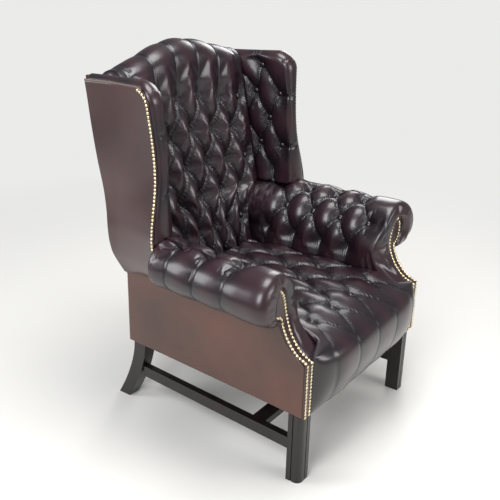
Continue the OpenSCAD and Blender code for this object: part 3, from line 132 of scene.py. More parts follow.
def arm_section(j, s):
    """Point (x, z) of the arm's section: up the inner side, over the swell, round the roll and under it."""
    side = lerp(s[7], s[0], j / 4), lerp(ARM_LOW, ARM_SPRING, j / 4)
    a = np.pi * (1 - share((j - 4) / 9) / 2)
    swell = s[1] + (s[1] - s[0]) * np.cos(a), ARM_SPRING + (s[2] - ARM_SPRING) * np.sin(a)
    a = np.pi / 2 * (1 - share((j - 13) / 5))
    roll = s[1] + (s[3] - s[1]) * np.cos(a), s[4] + (s[2] - s[4]) * np.sin(a)
    a = -np.pi / 2 * share((j - 18) / 6)
    under = s[5] + (s[3] - s[5]) * np.cos(a), s[4] + (s[4] - s[6]) * np.sin(a)
    return tuple(np.where(j <= 4, side[k], np.where(j <= 13, swell[k], np.where(j <= 18, roll[k], under[k])))
                 for k in (0, 1))


def arm_top_z(x, y):
    c = ARM_TOP_X - arm_shift(y)
    inner = ARM_SPRING + SWELL_H * np.sqrt(np.maximum(0, 1 - ((c - x) / (ARM_TOP_X - ARM_IN)) ** 2))
    out = np.minimum(1, (x - c) / (ARM_SKIN[3] - ARM_TOP_X))
    outer = ARM_H - ROLL_HALF + ROLL_HALF * np.sqrt(np.maximum(0, 1 - out ** 2))
    return np.where(x < c, inner, outer)


# The wing's edge: up the front, round the corner, along the top
def wing_line_y(z):
    return WING_FRONT + (z - ARM_H) * WING_LEAN


CORNER_Y = wing_line_y(WING_H - WING_CORNER_R) + WING_CORNER_R
CORNER_UP = WING_H - WING_CORNER_R


def wing_arc(f, d):
    return CORNER_Y - (WING_CORNER_R - d) * np.cos(f), CORNER_UP + (WING_CORNER_R - d) * np.sin(f)


def wing_fall(y):
    return WING_DROP * share((y - CORNER_Y) / (rear_y(WING_H) - CORNER_Y))


def wing_edge_y(z, d):
    arc = CORNER_Y - np.sqrt(np.maximum(0, (WING_CORNER_R - d) ** 2 - (z - CORNER_UP) ** 2))
    return np.where(z <= CORNER_UP, wing_line_y(z) + d, arc)


def wing_edge_z(y, d):
    low = wing_arc(np.pi / 4, d)
    arc = CORNER_UP + np.sqrt(np.maximum(0, (WING_CORNER_R - d) ** 2 - (CORNER_Y - y) ** 2))
    return np.where(y >= CORNER_Y, WING_H - d - wing_fall(y), np.where(y <= low[0], low[1], arc))


def wing_seam(y):
    return lerp(ARM_SKIN[6], SEAM_Z, share((y - WING_FRONT) / (BODY_D - WING_FRONT)))


# Over the outside wing's height, how far its front edge flares and its rear edge spreads
FLARE_SHARES = [(0, 0), (0.012, 0.34), (0.035, 0.62), (0.067, 0.69), (0.107, 0.70), (0.152, 0.72),
                (0.204, 0.755), (0.261, 0.765), (0.323, 0.705), (0.39, 0.61), (0.462, 0.485), (0.538, 0.39),
                (0.618, 0.355), (0.703, 0.365), (0.791, 0.41), (0.884, 0.48), (0.98, 0.55), (1, 0.56)]
SPREAD_SHARES = [(0, 0.05), (0.03, 0.2), (0.07, 0.5), (0.11, 0.8), (0.16, 1), (0.24, 1.04), (0.33, 0.88),
                 (0.42, 0.8), (0.58, 0.92), (0.75, 0.9), (0.9, 0.78), (1, 0.74)]


def wing_out_x(y, z):
    t = (z - wing_seam(y)) / (WING_H - wing_seam(y))
    w = share((rear_y(z) - y) / (rear_y(z) - wing_line_y(z)))
    spread = WING_SPREAD * smooth_table(SPREAD_SHARES, t)
    return side_x(y) + spread + (WING_FLARE * smooth_table(FLARE_SHARES, t) - 0.8 * spread) * w**1.6


# Outer face of the back post, and the wing board's inner face at its front
POST_OUT = REAR_HALF - (SKIN + GAP) - 6
BOARD_FRONT = FRONT_HALF - SKIN - BOARD_T - GAP + BOARD_OUT


def board_share(y):
    return share((y - WING_FRONT) / (rear_y(WING_H) - WING_FRONT))


def wing_pad_x(y):
    t = board_share(y)
    return lerp(BOARD_FRONT, POST_OUT + GAP, t) - GAP - lerp(PAD_FRONT, PAD_REAR, t)


# Buttoning: diamonds four columns wide and eight rows tall. A field holds a button's column and row,
# the columns and rows that the pattern covers, and the columns and rows of its buttons
def diamond(i, j, field):
    (bi, bj), (i0, i1, j0, j1), _ = field
    i, j = np.clip(i, i0, i1), np.clip(j, j0, j1)
    return (i - bi) / 4 + (j - bj) / 8, (i - bi) / 4 - (j - bj) / 8


def button_places(field):
    (bi, bj), _, (i0, i1, j0, j1) = field
    places = [(bi + 2 * (m + k), bj + 4 * (m - k)) for m in range(-12, 13) for k in range(-12, 13)]
    return sorted({p for p in places if i0 <= p[0] <= i1 and j0 <= p[1] <= j1})


def sunk(i, j, field, depth, cell, soft=1.0, fine=1.6):
    """How deep the leather lies below its crown, in millimetres: valleys between the buttons, pits at them,
    and a thin pleat along each valley. Where soft is 0 only the thin pleat is left."""
    u, v = diamond(i, j, field)
    a, b = np.abs(np.sin(np.pi * u)), np.abs(np.sin(np.pi * v))
    valley = 1 - (a * b) ** 0.5
    pleat = np.exp(-(np.minimum(a, b) * cell * 1.1 / 2.6) ** 2)
    pits = np.zeros_like(valley)
    for bi, bj in button_places(field):
        r = np.hypot((i - bi) * cell, (j - bj) * cell * 0.8)
        pits = np.maximum(pits, np.exp(-(r / 20.0) ** 1.35))
    return depth * (0.5 * valley * soft + 0.5 * pits) + fine * pleat


def normals_of(p):
    n = np.cross(np.gradient(p, axis=1), np.gradient(p, axis=0))
    return n / np.maximum(np.linalg.norm(n, axis=2, keepdims=True), 1e-9)


def lattice(columns, rows):
    """Columns and rows of a cover's mesh. A row has half the steps, so the pleats run along its diagonals."""
    return np.meshgrid(np.linspace(0, columns, columns * STEPS + 1),
                       np.linspace(0, rows, rows * STEPS // 2 + 1))


def sheet_triangles(m, n):
    """Triangles of an m by n sheet, their diagonals alternating so that both ways of pleats follow edges."""
    index = np.arange(m * n).reshape(m, n)
    b, a = np.meshgrid(np.arange(m - 1), np.arange(n - 1), indexing="ij")
    p, q, r, s = index[:-1, :-1], index[:-1, 1:], index[1:, 1:], index[1:, :-1]
    even = ((a + b) % 2 == 0)[..., None]
    one = np.where(even, np.stack([p, q, r], -1), np.stack([p, q, s], -1))
    two = np.where(even, np.stack([p, r, s], -1), np.stack([q, r, s], -1))
    return np.concatenate([one.reshape(-1, 3), two.reshape(-1, 3)]).tolist()


def new_piece(name, mesh):
    piece = bpy.data.objects.new(name, mesh)
    bpy.context.scene.collection.objects.link(piece)
    return piece


def cover(name, face, lining, places, left=False):
    """A closed leather cover from its face and its lining, two sheets of points in millimetres.
    places holds the face's place in the buttoning."""
    m, n = face.shape[:2]
    q = lining.shape[1]
    base = m * n
    points = np.concatenate([face.reshape(-1, 3), lining.reshape(-1, 3)])
    points = (points - [0, MIDDLE, 0]) / 1000 * [-1 if left else 1, 1, 1]
    under = base + np.arange(m * q).reshape(m, q)
    faces = sheet_triangles(m, n)
    faces += [[under[r, c], under[r + 1, c], under[r + 1, c + 1], under[r, c + 1]]
              for r in range(m - 1) for c in range(q - 1)]
    faces += [[r * n, (r + 1) * n, under[r + 1, 0], under[r, 0]] for r in range(m - 1)]
    faces += [[under[r, -1], under[r + 1, -1], (r + 2) * n - 1, (r + 1) * n - 1] for r in range(m - 1)]
    faces += [list(range(n - 1, -1, -1)) + list(under[0])]
    faces += [list(range((m - 1) * n, m * n)) + list(under[-1][::-1])]
    mesh = bpy.data.meshes.new(name)
    mesh.from_pydata(points.tolist(), [], [[int(v) for v in (f[::-1] if left else f)] for f in faces])
    store = mesh.attributes.new("buttoning", "FLOAT_VECTOR", "POINT")
    values = np.zeros((len(points), 3))
    for k in range(3):
        values[:base, k] = places[k].ravel()
    store.data.foreach_set("vector", values.ravel())
    mesh.shade_smooth()
    return new_piece(name, mesh)


# Buttoned surfaces. Each gives the crown's points and the depth of the buttoning below it. The arm's also
# gives the columns that its buttons are counted in
SEAT_FIELD = ((8, 12), (2, 18, 8, 34), (4, 16, 12, 32))
BACK_FIELD = ((11, 18), (1, 21, 2, 22), (1, 21, 2, 22))
WING_FIELD = ((3, 6), (1, 7, 2, 18), (3, 7, 2, 18))
ARM_FIELD = ((0, 12), (-4, 10, 4, 12), (-4, 10, 4, 12))
SEAT_FRONT = [(0.07, 0), (0.44, 0.08), (0.68, 0.19), (0.86, 0.31), (0.97, 0.43), (1, 0.55), (0.95, 0.655),
              (0.77, 0.745), (0.44, 0.81), (0, 0.86)]


def seat_depth(j):
    front = -LIP - SEAT_BULGE * smooth_table([(k, s[0]) for k, s in enumerate(SEAT_FRONT)], j)
    top = np.where(j <= 12, lerp(-LIP, 78, (j - 9) / 3), np.minimum(556, 78 + (j - 12) * 22))
    return np.where(j <= 9, front, top)


def seat_level(j):
    front = lerp(LEG_H, SEAT_H, smooth_table([(k, s[1]) for k, s in enumerate(SEAT_FRONT)], j))
    top = SEAT_H - (SEAT_H - LEG_H) * 0.14 * (1 - share((j - 9) / 4)) ** 1.6
    return np.where(j <= 9, front, top)


def seat_half(y, further=0):
    """Half width of the seat: the full front, then between the arms, drawn in this much further back."""
    t = share((y + LIP + RIM_PROUD / 2 - further) / (ARM_FRONT_R + RIM_PROUD / 2))
    return lerp(FACING_IN - GAP, ARM_IN - arm_shift(np.maximum(0, y)) - 1, 1 - (1 - t) ** 6)


def seat_surface(i, j):
    y, z, half = seat_depth(j), seat_level(j), seat_half(seat_depth(j), 27)
    c = i - 10
    a = np.abs(c)
    cell = np.minimum((ARM_IN - 1) / 8.3, half / 8.3)
    x = np.sign(c) * np.where(a <= 8, a * cell, lerp(8 * cell, half, (np.maximum(a - 8, 0) / 2) ** 0.75))
    side = 1 - np.abs(c / 10) ** 9
    y = np.where(j > 9, y, lerp(-LIP, y, side))
    fall = lerp(4, 15, share((j - 11.5) / 3)) + 13 * np.exp(-((j - 9.7) / 0.8) ** 2)
    z = z - fall * (1 - side) * share((j - 5) / 4)
    p = np.stack([x, y, z], -1)
    soft = lerp(0.12, 0.9, share((j - 11) / 7) ** 1.2)
    return p, (sunk(i, j, SEAT_FIELD, 31, 28, soft=soft) - 3 * share((j - 10) / 5)) * side


def back_half(z):
    wing = wing_pad_x(back_face_y(z) + BACK_T)
    y = back_face_y(z) + POST_T
    swell = np.sqrt(np.maximum(0, 1 - share((z - ARM_SPRING) / SWELL_H) ** 2))
    inner = np.where(z <= ARM_SPRING, ARM_IN, ARM_TOP_X - (ARM_TOP_X - ARM_IN) * swell)
    return np.minimum(wing, np.where(z < ARM_H, inner - arm_shift(y), FRONT_HALF)) - 1


def back_level(x, j):
    return lerp(BACK_LOW, camel_z(x) - CREST_R, np.minimum(1, j / 26))


def back_surface(i, j):
    u = i / 11 - 1
    x = u * back_half(back_level(REAR_HALF, j))
    z = back_level(x, j)
    a = np.pi * (1 - 168 / 180 * share((j - 26) / 8))
    over_top = np.stack([x, back_face_y(z) + BACK_T / 2 + CREST_R * np.cos(a), z + CREST_R * np.sin(a)], -1)
    p = np.where((j <= 26)[..., None], np.stack([x, back_face_y(z), z], -1), over_top)
    soft = lerp(1.0, 0.22, share((j - 20.5) / 5) ** 0.8)
    depth = (sunk(i, j, BACK_FIELD, 44, 24, soft=soft) - 5) * (1 - np.abs(u) ** 8)
    return p, depth * (1 - share((j - 26) / 8) ** 3)


def wing_surface(i, j):
    p, q = np.maximum(0, i - 8), np.maximum(0, j - 19)
    w = np.maximum(p, q) / 5
    r, d = WING_CORNER_R - WING_TURN_R, WING_TURN_R
    zn = lerp(ARM_H, wing_arc(np.pi / 4, d)[1], np.minimum(1, j / 19))
    t = share((j - 16) / 3)
    rear = lerp(back_face_y(zn) + POST_T, rear_y(zn) - SKIN - 1, t)
    row = np.minimum(1, j / 19)

    def foot(x, y, top):
        return lerp(arm_top_z(x, y) + 1, top, row)

    y0 = lerp(rear, wing_edge_y(zn, d), i / 8)
    bulge = 7 * share((i - 4.5) / 3.5) ** 2
    x0 = wing_pad_x(y0) + bulge
    flat = np.stack([x0, y0, foot(x0, y0, wing_edge_z(y0, d))], -1)
    # Turned over the wing's edge
    yn = lerp(rear, wing_arc(np.pi / 4, d)[0], i / 8)
    f_top = np.where(yn >= CORNER_Y, np.pi / 2,
                     np.pi / 2 - (np.pi / 2 - np.arccos(np.clip((CORNER_Y - yn) / r, -1, 1))) * (1 - q / 15))
    f_front = np.where(zn <= CORNER_UP, 0, np.arcsin(np.clip((zn - CORNER_UP) / r, -1, 1)) * (1 - p / 15))
    f = np.where((p > 0) & (q > 0), np.pi / 4 + np.radians(3) * (q - p), np.where(q > 0, f_top, f_front))
    ay, az = wing_arc(f, d)
    straight_top = (q > 0) & (p == 0) & (yn >= CORNER_Y)
    straight_front = (q == 0) & (zn <= CORNER_UP)
    sy = np.where(straight_top, yn, np.where(straight_front, wing_edge_y(zn, d), ay))
    sz = np.where(straight_top, wing_edge_z(yn, d), np.where(straight_front, zn, az))
    a = WING_TURN * w
    run = d * np.sin(a)
    y = sy - run * np.cos(f)
    z = sz + run * np.sin(f) * (1 + 0.2 * np.sin(f) ** 4)
    inner = wing_pad_x(sy) + bulge
    outer = wing_out_x(y, sz + run * np.sin(f)) - SKIN - 1
    x = inner + (outer - inner) * (1 - np.cos(a)) / (1 - math.cos(WING_TURN))
    z = np.where(straight_front, foot(x, y, wing_arc(np.pi / 4, d)[1]), z)
    turned = np.stack([x, y, z], -1)
    points = np.where((w > 0)[..., None], turned, flat)
    fade = np.minimum(1, i / 2) * share((21 - j) / 2) * np.where(i > 8, share((11 - i) / 3), 1)
    soft = 0.9 * np.where(i > 5, lerp(1, 0.25, share((i - 5) / 3)), 1)
    tucks = sum(np.exp(-((j - k) * 17 / 2.6) ** 2) for k in (6, 14))
    tucks = 4.5 * tucks * share((i - 6) / 1.5) * share((12.5 - i) / 3)
    return points, (sunk(i, j, WING_FIELD, 26, 21, soft=soft) - 5.5) * fade + tucks


# The depth of the arm's first column of buttoning, and the spacing of the columns
ARM_FIRST, ARM_COLUMN = 404, 25
# Round the arm's section, how far its rim swells ahead of the facing
PROUD_SHARES = [(0, 0.35), (9, 0.35), (12, 0.5), (15, 1), (21, 1), (24, 0.35)]


def arm_surface(i, j):
    w = np.maximum(0, i - 21) / 5
    k = 1 - np.maximum(0, np.cos(np.pi / 2 * w)) ** 0.6
    s = [lerp(a, b, k) for a, b in zip(ARM_SKIN, ARM_RIM)]
    x, z = arm_section(j, s)
    front = sweep_y(np.maximum(CORNER_Z + 1, z)) + ARM_FRONT_R
    rear = BODY_D - BACK_T + POST_T
    end = wing_line_y(arm_section(j, ARM_SKIN)[1]) + PANEL_BACK - 3
    last = ARM_FIRST - 10 * ARM_COLUMN
    even = np.where(j <= 13, np.minimum(ARM_FIRST - (i - 8) * ARM_COLUMN, rear - i), lerp(end, last, i / 18))
    y = np.where(i > 18, lerp(last, front, (i - 18) / 3), even)
    proud = ARM_FRONT_R + RIM_PROUD * smooth_table(PROUD_SHARES, j)
    y = np.where(w > 0, front - proud * np.sin(np.pi / 2 * w) ** 0.6, y)
    y = np.where(w >= 1, front - ARM_FRONT_R, y)
    p = np.stack([x - arm_shift(y), y, z], -1)
    i_at = (ARM_FIRST - y) / ARM_COLUMN
    soft = lerp(0.9, 0.2, share((j - 12) / 4)) * share((j + 1) / 5)
    depth = sunk(i_at, j, ARM_FIELD, 31, ARM_COLUMN, soft=soft) - 3 * share(j / 3)
    return p, depth * np.maximum(0, 1 - 2 * w), i_at


# What lies behind the leather: the back of each cover, along the frame
def seat_lining(j):
    y, z, half = seat_depth(j), seat_level(j), seat_half(seat_depth(j))
    under = 326.0
    back = np.where(j < 9, -GAP, np.maximum(6.2 * (j - 8), y))
    flat = z >= under
    x = np.where(flat & (j >= 9), np.minimum(FACING_IN - GAP, half), FACING_IN - GAP)
    y = np.where(flat, back, -GAP)
    return np.stack([np.stack([u * x, y, np.minimum(z, under)], -1) for u in (-1, 1)], 1)


def back_lining(j):
    tail = share((j - 26) / 8)
    columns = []
    for u in np.linspace(-1, 1, 9):
        x = u * back_half(back_level(REAR_HALF, j))
        z = back_level(x, j)
        columns.append(np.stack([x, back_face_y(z) + POST_T + 59 * tail, z + GAP * (tail > 0)], -1))
    return np.stack(columns, 1)


def board_in_x(y):
    return lerp(BOARD_FRONT, POST_OUT + GAP, board_share(y))


def wing_lining(j):
    q = np.maximum(0, j - 20) / 4
    zn = lerp(ARM_H, wing_arc(np.pi / 4, 18)[1], np.minimum(1, j / 19))
    rear = lerp(back_face_y(zn) + (POST_T - GAP), rear_y(zn) - SKIN - 1, share((j - 16) / 3))
    front = wing_edge_y(zn, 18)
    top, row = j > 19, np.minimum(1, j / 19)
    middle = np.where(top, CORNER_Y + q, front)
    tip = wing_arc(np.pi / 4, 10)
    columns = []
    for y in (rear, middle):
        x = board_in_x(y) - GAP
        z = np.where(top, wing_edge_z(y, 18) + 2, lerp(arm_top_z(x, y) + 1, wing_edge_z(y, 18) + GAP, row))
        columns.append(np.stack([lerp(x, wing_out_x(y, zn) - SKIN - 8, q), y, z], -1))
    y = np.where(j >= 19, tip[0] + np.maximum(0, j - 19) / 4, front)
    x = wing_out_x(y, zn) - SKIN - 3.3
    low = arm_top_z(board_in_x(front), front) + 1
    z = np.where(j >= 19, tip[1], lerp(low, wing_edge_z(front, 18) + GAP, row))
    columns.append(np.stack([x, y, z], -1))
    return np.stack(columns, 1)


ARM_CORE = [FACING_IN if k in (0, 7) else (a + b) / 2 for k, (a, b) in enumerate(zip(ARM_SKIN, ARM_RIM))]


def arm_lining(j):
    x, z = arm_section(j, ARM_CORE)
    rx, rz = arm_section(j, ARM_RIM)
    end = np.where(j <= 13, BODY_D - BACK_T + POST_T,
                   wing_line_y(arm_section(j, ARM_SKIN)[1]) + PANEL_BACK - 3)
    yc = sweep_y(np.maximum(CORNER_Z + 1, z)) + ARM_FRONT_R
    yr = sweep_y(np.maximum(CORNER_Z + 1, rz)) + FACING_T
    return np.stack([np.stack([x - arm_shift(end), end, z], -1), np.stack([x - arm_shift(yc), yc, z], -1),
                     np.stack([rx - arm_shift(yr), yr, rz], -1)], 1)


def settle(piece, held, ease, cap, pressure=7.0, slack=0.02):
    """Let the cover settle as cloth over its stuffing: blown out from inside, held at its edges and buttons.
    held gives each point's hold from 0 to 1, ease the share of its way that it goes, and cap the most
    millimetres."""
    mesh = piece.data
    start = np.empty(len(mesh.vertices) * 3)
    mesh.vertices.foreach_get("co", start)
    start = start.reshape(-1, 3)
    group = piece.vertex_groups.new(name="held")
    for level in sorted({round(float(h), 1) for h in held} - {0.0}):
        group.add(np.nonzero(np.round(held, 1) == level)[0].tolist(), level, "REPLACE")
    cloth = piece.modifiers.new("settle", "CLOTH")
    rules = cloth.settings
    rules.quality, rules.mass, rules.air_damping = 5, 0.3, 2.0
    rules.tension_stiffness = rules.compression_stiffness = 18.0
    rules.shear_stiffness, rules.bending_stiffness = 6.0, 8.0
    rules.vertex_group_mass = "held"
    rules.use_pressure, rules.uniform_pressure_force = True, pressure
    rules.shrink_min = -slack
    rules.effector_weights.gravity = 0
    cloth.collision_settings.use_collision = False
    cloth.point_cache.frame_start, cloth.point_cache.frame_end = 1, 20
    for k in range(1, 21):
        bpy.context.scene.frame_set(k)
    shaped = piece.evaluated_get(bpy.context.evaluated_depsgraph_get()).to_mesh()
    end = np.empty(len(shaped.vertices) * 3)
    shaped.vertices.foreach_get("co", end)
    piece.evaluated_get(bpy.context.evaluated_depsgraph_get()).to_mesh_clear()
    move = end.reshape(-1, 3) - start
    far = np.maximum(np.linalg.norm(move, axis=1, keepdims=True), 1e-9)
    move *= np.minimum(far, cap / 1000) / far * ease[:, None]
    piece.modifiers.remove(cloth)
    piece.vertex_groups.remove(group)
    bpy.context.scene.frame_set(1)
    mesh.vertices.foreach_set("co", (start + move).ravel())
    mesh.update()


# For each padded part, the covers and surfaces that its buttons sit in
BUTTON_SEATS = {}


# Leather covers
def buttoned_cover(name, node, surface, lining, columns, rows, field, left=False, cap=12):
    """The buttoned leather of one pad, in place of its plain solid in the frame."""
    i, j = lattice(columns, rows)
    crown, depth, *own = surface(i, j)
    face = crown - normals_of(crown) * depth[..., None]
    at = own[0] if own else i
    u, v = diamond(at, j, field)
    near = np.zeros_like(u)
    for bi, bj in button_places(field):
        near = np.maximum(near, share(2.2 - np.hypot((at - bi) / 1.4, (j - bj) / 2.2)))
    piece = cover(name, face, lining(j[:, 0]), (u, v, near), left)
    held = np.ones(len(piece.data.vertices))
    m, n = i.shape
    rim = np.minimum(np.minimum(np.arange(m)[:, None], m - 1 - np.arange(m)[:, None]),
                     np.minimum(np.arange(n)[None, :], n - 1 - np.arange(n)[None, :]))
    a, b = np.abs(np.sin(np.pi * u)), np.abs(np.sin(np.pi * v))
    pleat = 0.5 * np.exp(-(np.minimum(a, b) / 0.12) ** 2)
    pit, easy = np.zeros_like(u), np.ones_like(u)
    for bi, bj in button_places(field):
        r = np.hypot(at - bi, (j - bj) / 1.6)
        pit = np.maximum(pit, share(1.9 - r / 0.22))
        easy = np.minimum(easy, lerp(0.3, 1, share(r / 1.2)))
    ease = np.ones(len(held))
    ease[:m * n] = easy.ravel()
    held[:m * n] = np.maximum(np.maximum(pleat, pit), share(1.6 - rim / 3)).ravel()
    settle(piece, held, ease, cap)
    pad = node.replace("inside_", "").replace("_left", "").replace("_right", "")
    BUTTON_SEATS.setdefault(pad, []).append((piece, field, crown, left))
    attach(piece, "root")
    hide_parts(node)
    return piece


covers = [buttoned_cover("seat_cover", "seat", seat_surface, seat_lining, 20, 34, SEAT_FIELD),
          buttoned_cover("back_cover", "inside_back", back_surface, back_lining, 22, 34, BACK_FIELD)]
for side in ("left", "right"):
    covers.append(buttoned_cover("wing_cover_" + side, "inside_wing_" + side, wing_surface, wing_lining,
                                 13, 24, WING_FIELD, side == "left"))
    covers.append(buttoned_cover("arm_cover_" + side, "inside_arm_" + side, arm_surface, arm_lining,
                                 26, 24, ARM_FIELD, side == "left"))


# Covered buttons, drawn down into the pits: a domed head whose edge is gathered
def covered_buttons(name, node, seats):
    turns = np.linspace(0, 2 * np.pi, 24, endpoint=False)
    profile = [(1.2, -6.0), (3.0, -2.5), (8.6, -0.6), (9.4, 0.7), (8.8, 2.2), (6.8, 3.7), (3.8, 4.7),
               (1.2, 5.0)]
    points, faces = [], []
    for piece, field, crown, left in seats:
        m, n = crown.shape[:2]
        at = np.empty(len(piece.data.vertices) * 3)
        piece.data.vertices.foreach_get("co", at)
        at = at.reshape(-1, 3)[:m * n].reshape(m, n, 3) * 1000
        outward = normals_of(crown) * [-1 if left else 1, 1, 1]
        store = np.empty(len(piece.data.vertices) * 3)
        piece.data.attributes["buttoning"].data.foreach_get("vector", store)
        store = store.reshape(-1, 3)[:m * n].reshape(m, n, 3)
        for bi, bj in button_places(field):
            u, v = diamond(bi, bj, field)
            r, c = np.unravel_index(np.argmin(np.hypot(store[..., 0] - u, store[..., 1] - v)), (m, n))
            up = outward[r, c]
            side = np.cross(up, [0.0, 1.0, 0.3])
            side /= np.linalg.norm(side)
            other = np.cross(up, side)
            first = len(points)
            for radius, height in profile:
                fold = 1 + 0.035 * np.cos(12 * turns) * (1.2 < radius < 9)
                ring = (at[r, c] + up * (height + 4.5) + (radius * fold)[:, None]
                        * (np.cos(turns)[:, None] * side + np.sin(turns)[:, None] * other))
                points.extend(ring / 1000)
            k = len(turns)
            for a in range(len(profile) - 1):
                faces += [[first + a * k + b, first + a * k + (b + 1) % k, first + (a + 1) * k + (b + 1) % k,
                           first + (a + 1) * k + b] for b in range(k)]
            last = first + (len(profile) - 1) * k
            faces += [list(range(first + k - 1, first - 1, -1)), list(range(last, last + k))]
    mesh = bpy.data.meshes.new(name)
    mesh.from_pydata([tuple(map(float, p)) for p in points], [], faces)
    mesh.shade_smooth()
    piece = new_piece(name, mesh)
    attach(piece, "root")
    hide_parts(node)
    return piece


buttons = [covered_buttons("covered_" + node, node, BUTTON_SEATS[pad])
           for node, pad in (("seat_buttons", "seat"), ("back_buttons", "back"), ("wing_buttons", "wing"),
                             ("arm_buttons", "arm"))]


# Smooth outside leather
def edged(length, count, soft=5.0):
    """Shares along a panel's side, close together at its two turned edges."""
    near = np.array([0, 0.25, 0.7, 1.4, 2.6, soft]) / length
    return np.concatenate([near, np.linspace(near[-1], 1 - near[-1], count)[1:-1], 1 - near[::-1]])


def outside_panel(name, node, surface, size, count, left=False, turn=3.0, thick=4.6):
    """A smooth leather panel with turned edges. surface gives a point for shares across and up."""
    u, v = np.meshgrid(edged(size[0], count[0]), edged(size[1], count[1]))
    face = surface(u, v)
    n = normals_of(face)
    edge = np.minimum(np.minimum(u, 1 - u) * size[0], np.minimum(v, 1 - v) * size[1])
    low = turn * (1 - np.sqrt(1 - (1 - np.minimum(1, edge / turn)) ** 2))
    soft = 0.35 * np.sin(face[..., 1] / 47 + 1.3) * np.sin(face[..., 2] / 61 + face[..., 0] / 50)
    face = face - n * (low + soft + 0.35)[..., None]
    piece = cover(name, face, surface(u, v) - n * thick, (u * 0, v * 0, u * 0), left)
    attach(piece, "root")
    if node:
        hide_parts(node)
    return piece


def top_corner_surface(u, v):
    z = lerp(1003, 1039, v)
    y = rear_y(z) - lerp(5.4, 0.9, share((z - 1013) / 12)) - 4 * (2 * u - 1) ** 4
    return np.stack([lerp(wing_out_x(rear_y(z) - 1, z) - 3.5, 284, u), y, z - 6 * share(u) * v], -1)


def outside_wing_surface(u, v):
    t = v ** 1.3
    top = wing_arc(np.pi / 4, PANEL_BACK)[1]
    front = wing_edge_y(lerp(ARM_SKIN[6], top, t), PANEL_BACK)
    y = lerp(front, rear_y(lerp(SEAM_Z, top, t)) - GAP, u ** 1.15)
    z = lerp(wing_seam(y), wing_edge_z(y, PANEL_BACK), t)
    return np.stack([wing_out_x(y, z), y, z], -1)


def side_panel_surface(u, v):
    y = BODY_D * u
    rise = (y - WING_FRONT) / (BODY_D - WING_FRONT)
    top = np.where(y < WING_FRONT, ARM_SEAM - GAP, lerp(ARM_SEAM - GAP, SEAM_Z - GAP, rise))
    z = lerp(LEG_H, top, v)
    front = sweep_y(z) + FACING_T + GAP
    y = lerp(front, BODY_D, u)
    return np.stack([side_x(y), y, z], -1)


def outside_back_surface(u, v):
    x = lerp(1, -1, u) * (REAR_HALF - SKIN - GAP)
    z = lerp(LEG_H, camel_z(x) - CREST_R, v)
    wing = wing_out_x(rear_y(z) - GAP, z) - SKIN - GAP
    half = np.where(z < SEAM_Z, REAR_HALF - SKIN - GAP, np.minimum(wing, REAR_HALF + 30))
    x = lerp(1, -1, u) * half
    return np.stack([x, rear_y(z), z], -1)


panels = [outside_panel("outside_back_panel", "outside_back", outside_back_surface, (600, 830), (40, 70))]
for side in ("left", "right"):
    panels.append(outside_panel("outside_wing_panel_" + side, "outside_wing_" + side, outside_wing_surface,
                                (260, 570), (36, 80), side == "left"))
    panels.append(outside_panel("top_corner_" + side, None, top_corner_surface, (34, 36), (8, 8),
                                side == "left", turn=4.0, thick=13.0))
    panels.append(outside_panel("side_leather_" + side, "side_panel_" + side, side_panel_surface,
                                (BODY_D, 260), (60, 30), side == "left"))


def softened(name, node, step):
    """A frame piece's leather with its edges rounded by a fine remesh."""
    piece = new_piece(name, frame["nodes"][node].data.copy())
    again = piece.modifiers.new("again", "REMESH")
    again.mode, again.voxel_size, again.use_smooth_shade = "VOXEL", step, True
    ease = piece.modifiers.new("ease", "SMOOTH")
    ease.factor, ease.iterations = 0.5, 4
    shaped = bpy.data.meshes.new_from_object(piece.evaluated_get(bpy.context.evaluated_depsgraph_get()))
    piece.modifiers.clear()
    piece.data = shaped
    shaped.shade_smooth()
    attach(piece, "root")
    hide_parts(node)
    return piece


for side in ("left", "right"):
    panels.append(softened("arm_front_leather_" + side, "arm_facing_" + side, 0.0016))


# The piped edge between each wing's outside panel and its padding
def piped_edge(name, left=False):
    back = np.linspace(rear_y(WING_H) - 5, CORNER_Y, 48)
    y, z = wing_arc(np.radians(np.linspace(86, 62, 10)), PANEL_BACK - 1.6)
    y = np.concatenate([back, y])
    z = np.concatenate([WING_H - PANEL_BACK + 1.6 - wing_fall(back), z])
    path = np.stack([wing_out_x(y, z) - 1.0 - 1.5 * share((y - y[0] + 12) / 12), y, z], -1)
    along = np.gradient(path, axis=0)
    along /= np.linalg.norm(along, axis=1, keepdims=True)
    side = np.cross(along, [1.0, 0.0, 0.0])
    side /= np.linalg.norm(side, axis=1, keepdims=True)
    out = np.cross(side, along)
    radius = 2.3 + 0.12 * np.sin(np.arange(len(y)) * 1.9)
    radius[0] = radius[-1] = 1.2
    turns = np.linspace(0, 2 * np.pi, 12, endpoint=False)[None, :, None]
    ring = np.cos(turns) * side[:, None] + np.sin(turns) * out[:, None]
    rings = path[:, None] + radius[:, None, None] * ring
    points = (rings.reshape(-1, 3) - [0, MIDDLE, 0]) / 1000 * [-1 if left else 1, 1, 1]
    faces = [[a * 12 + b, a * 12 + (b + 1) % 12, (a + 1) * 12 + (b + 1) % 12, (a + 1) * 12 + b]
             for a in range(len(y) - 1) for b in range(12)]
    faces += [list(range(11, -1, -1)), list(range(len(points) - 12, len(points)))]
    mesh = bpy.data.meshes.new(name)
    mesh.from_pydata(points.tolist(), [], [f[::-1] if left else f for f in faces])
    mesh.shade_smooth()
    piece = new_piece(name, mesh)
    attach(piece, "root")
    return piece


welts = [piped_edge("wing_piping_" + side, side == "left") for side in ("left", "right")]


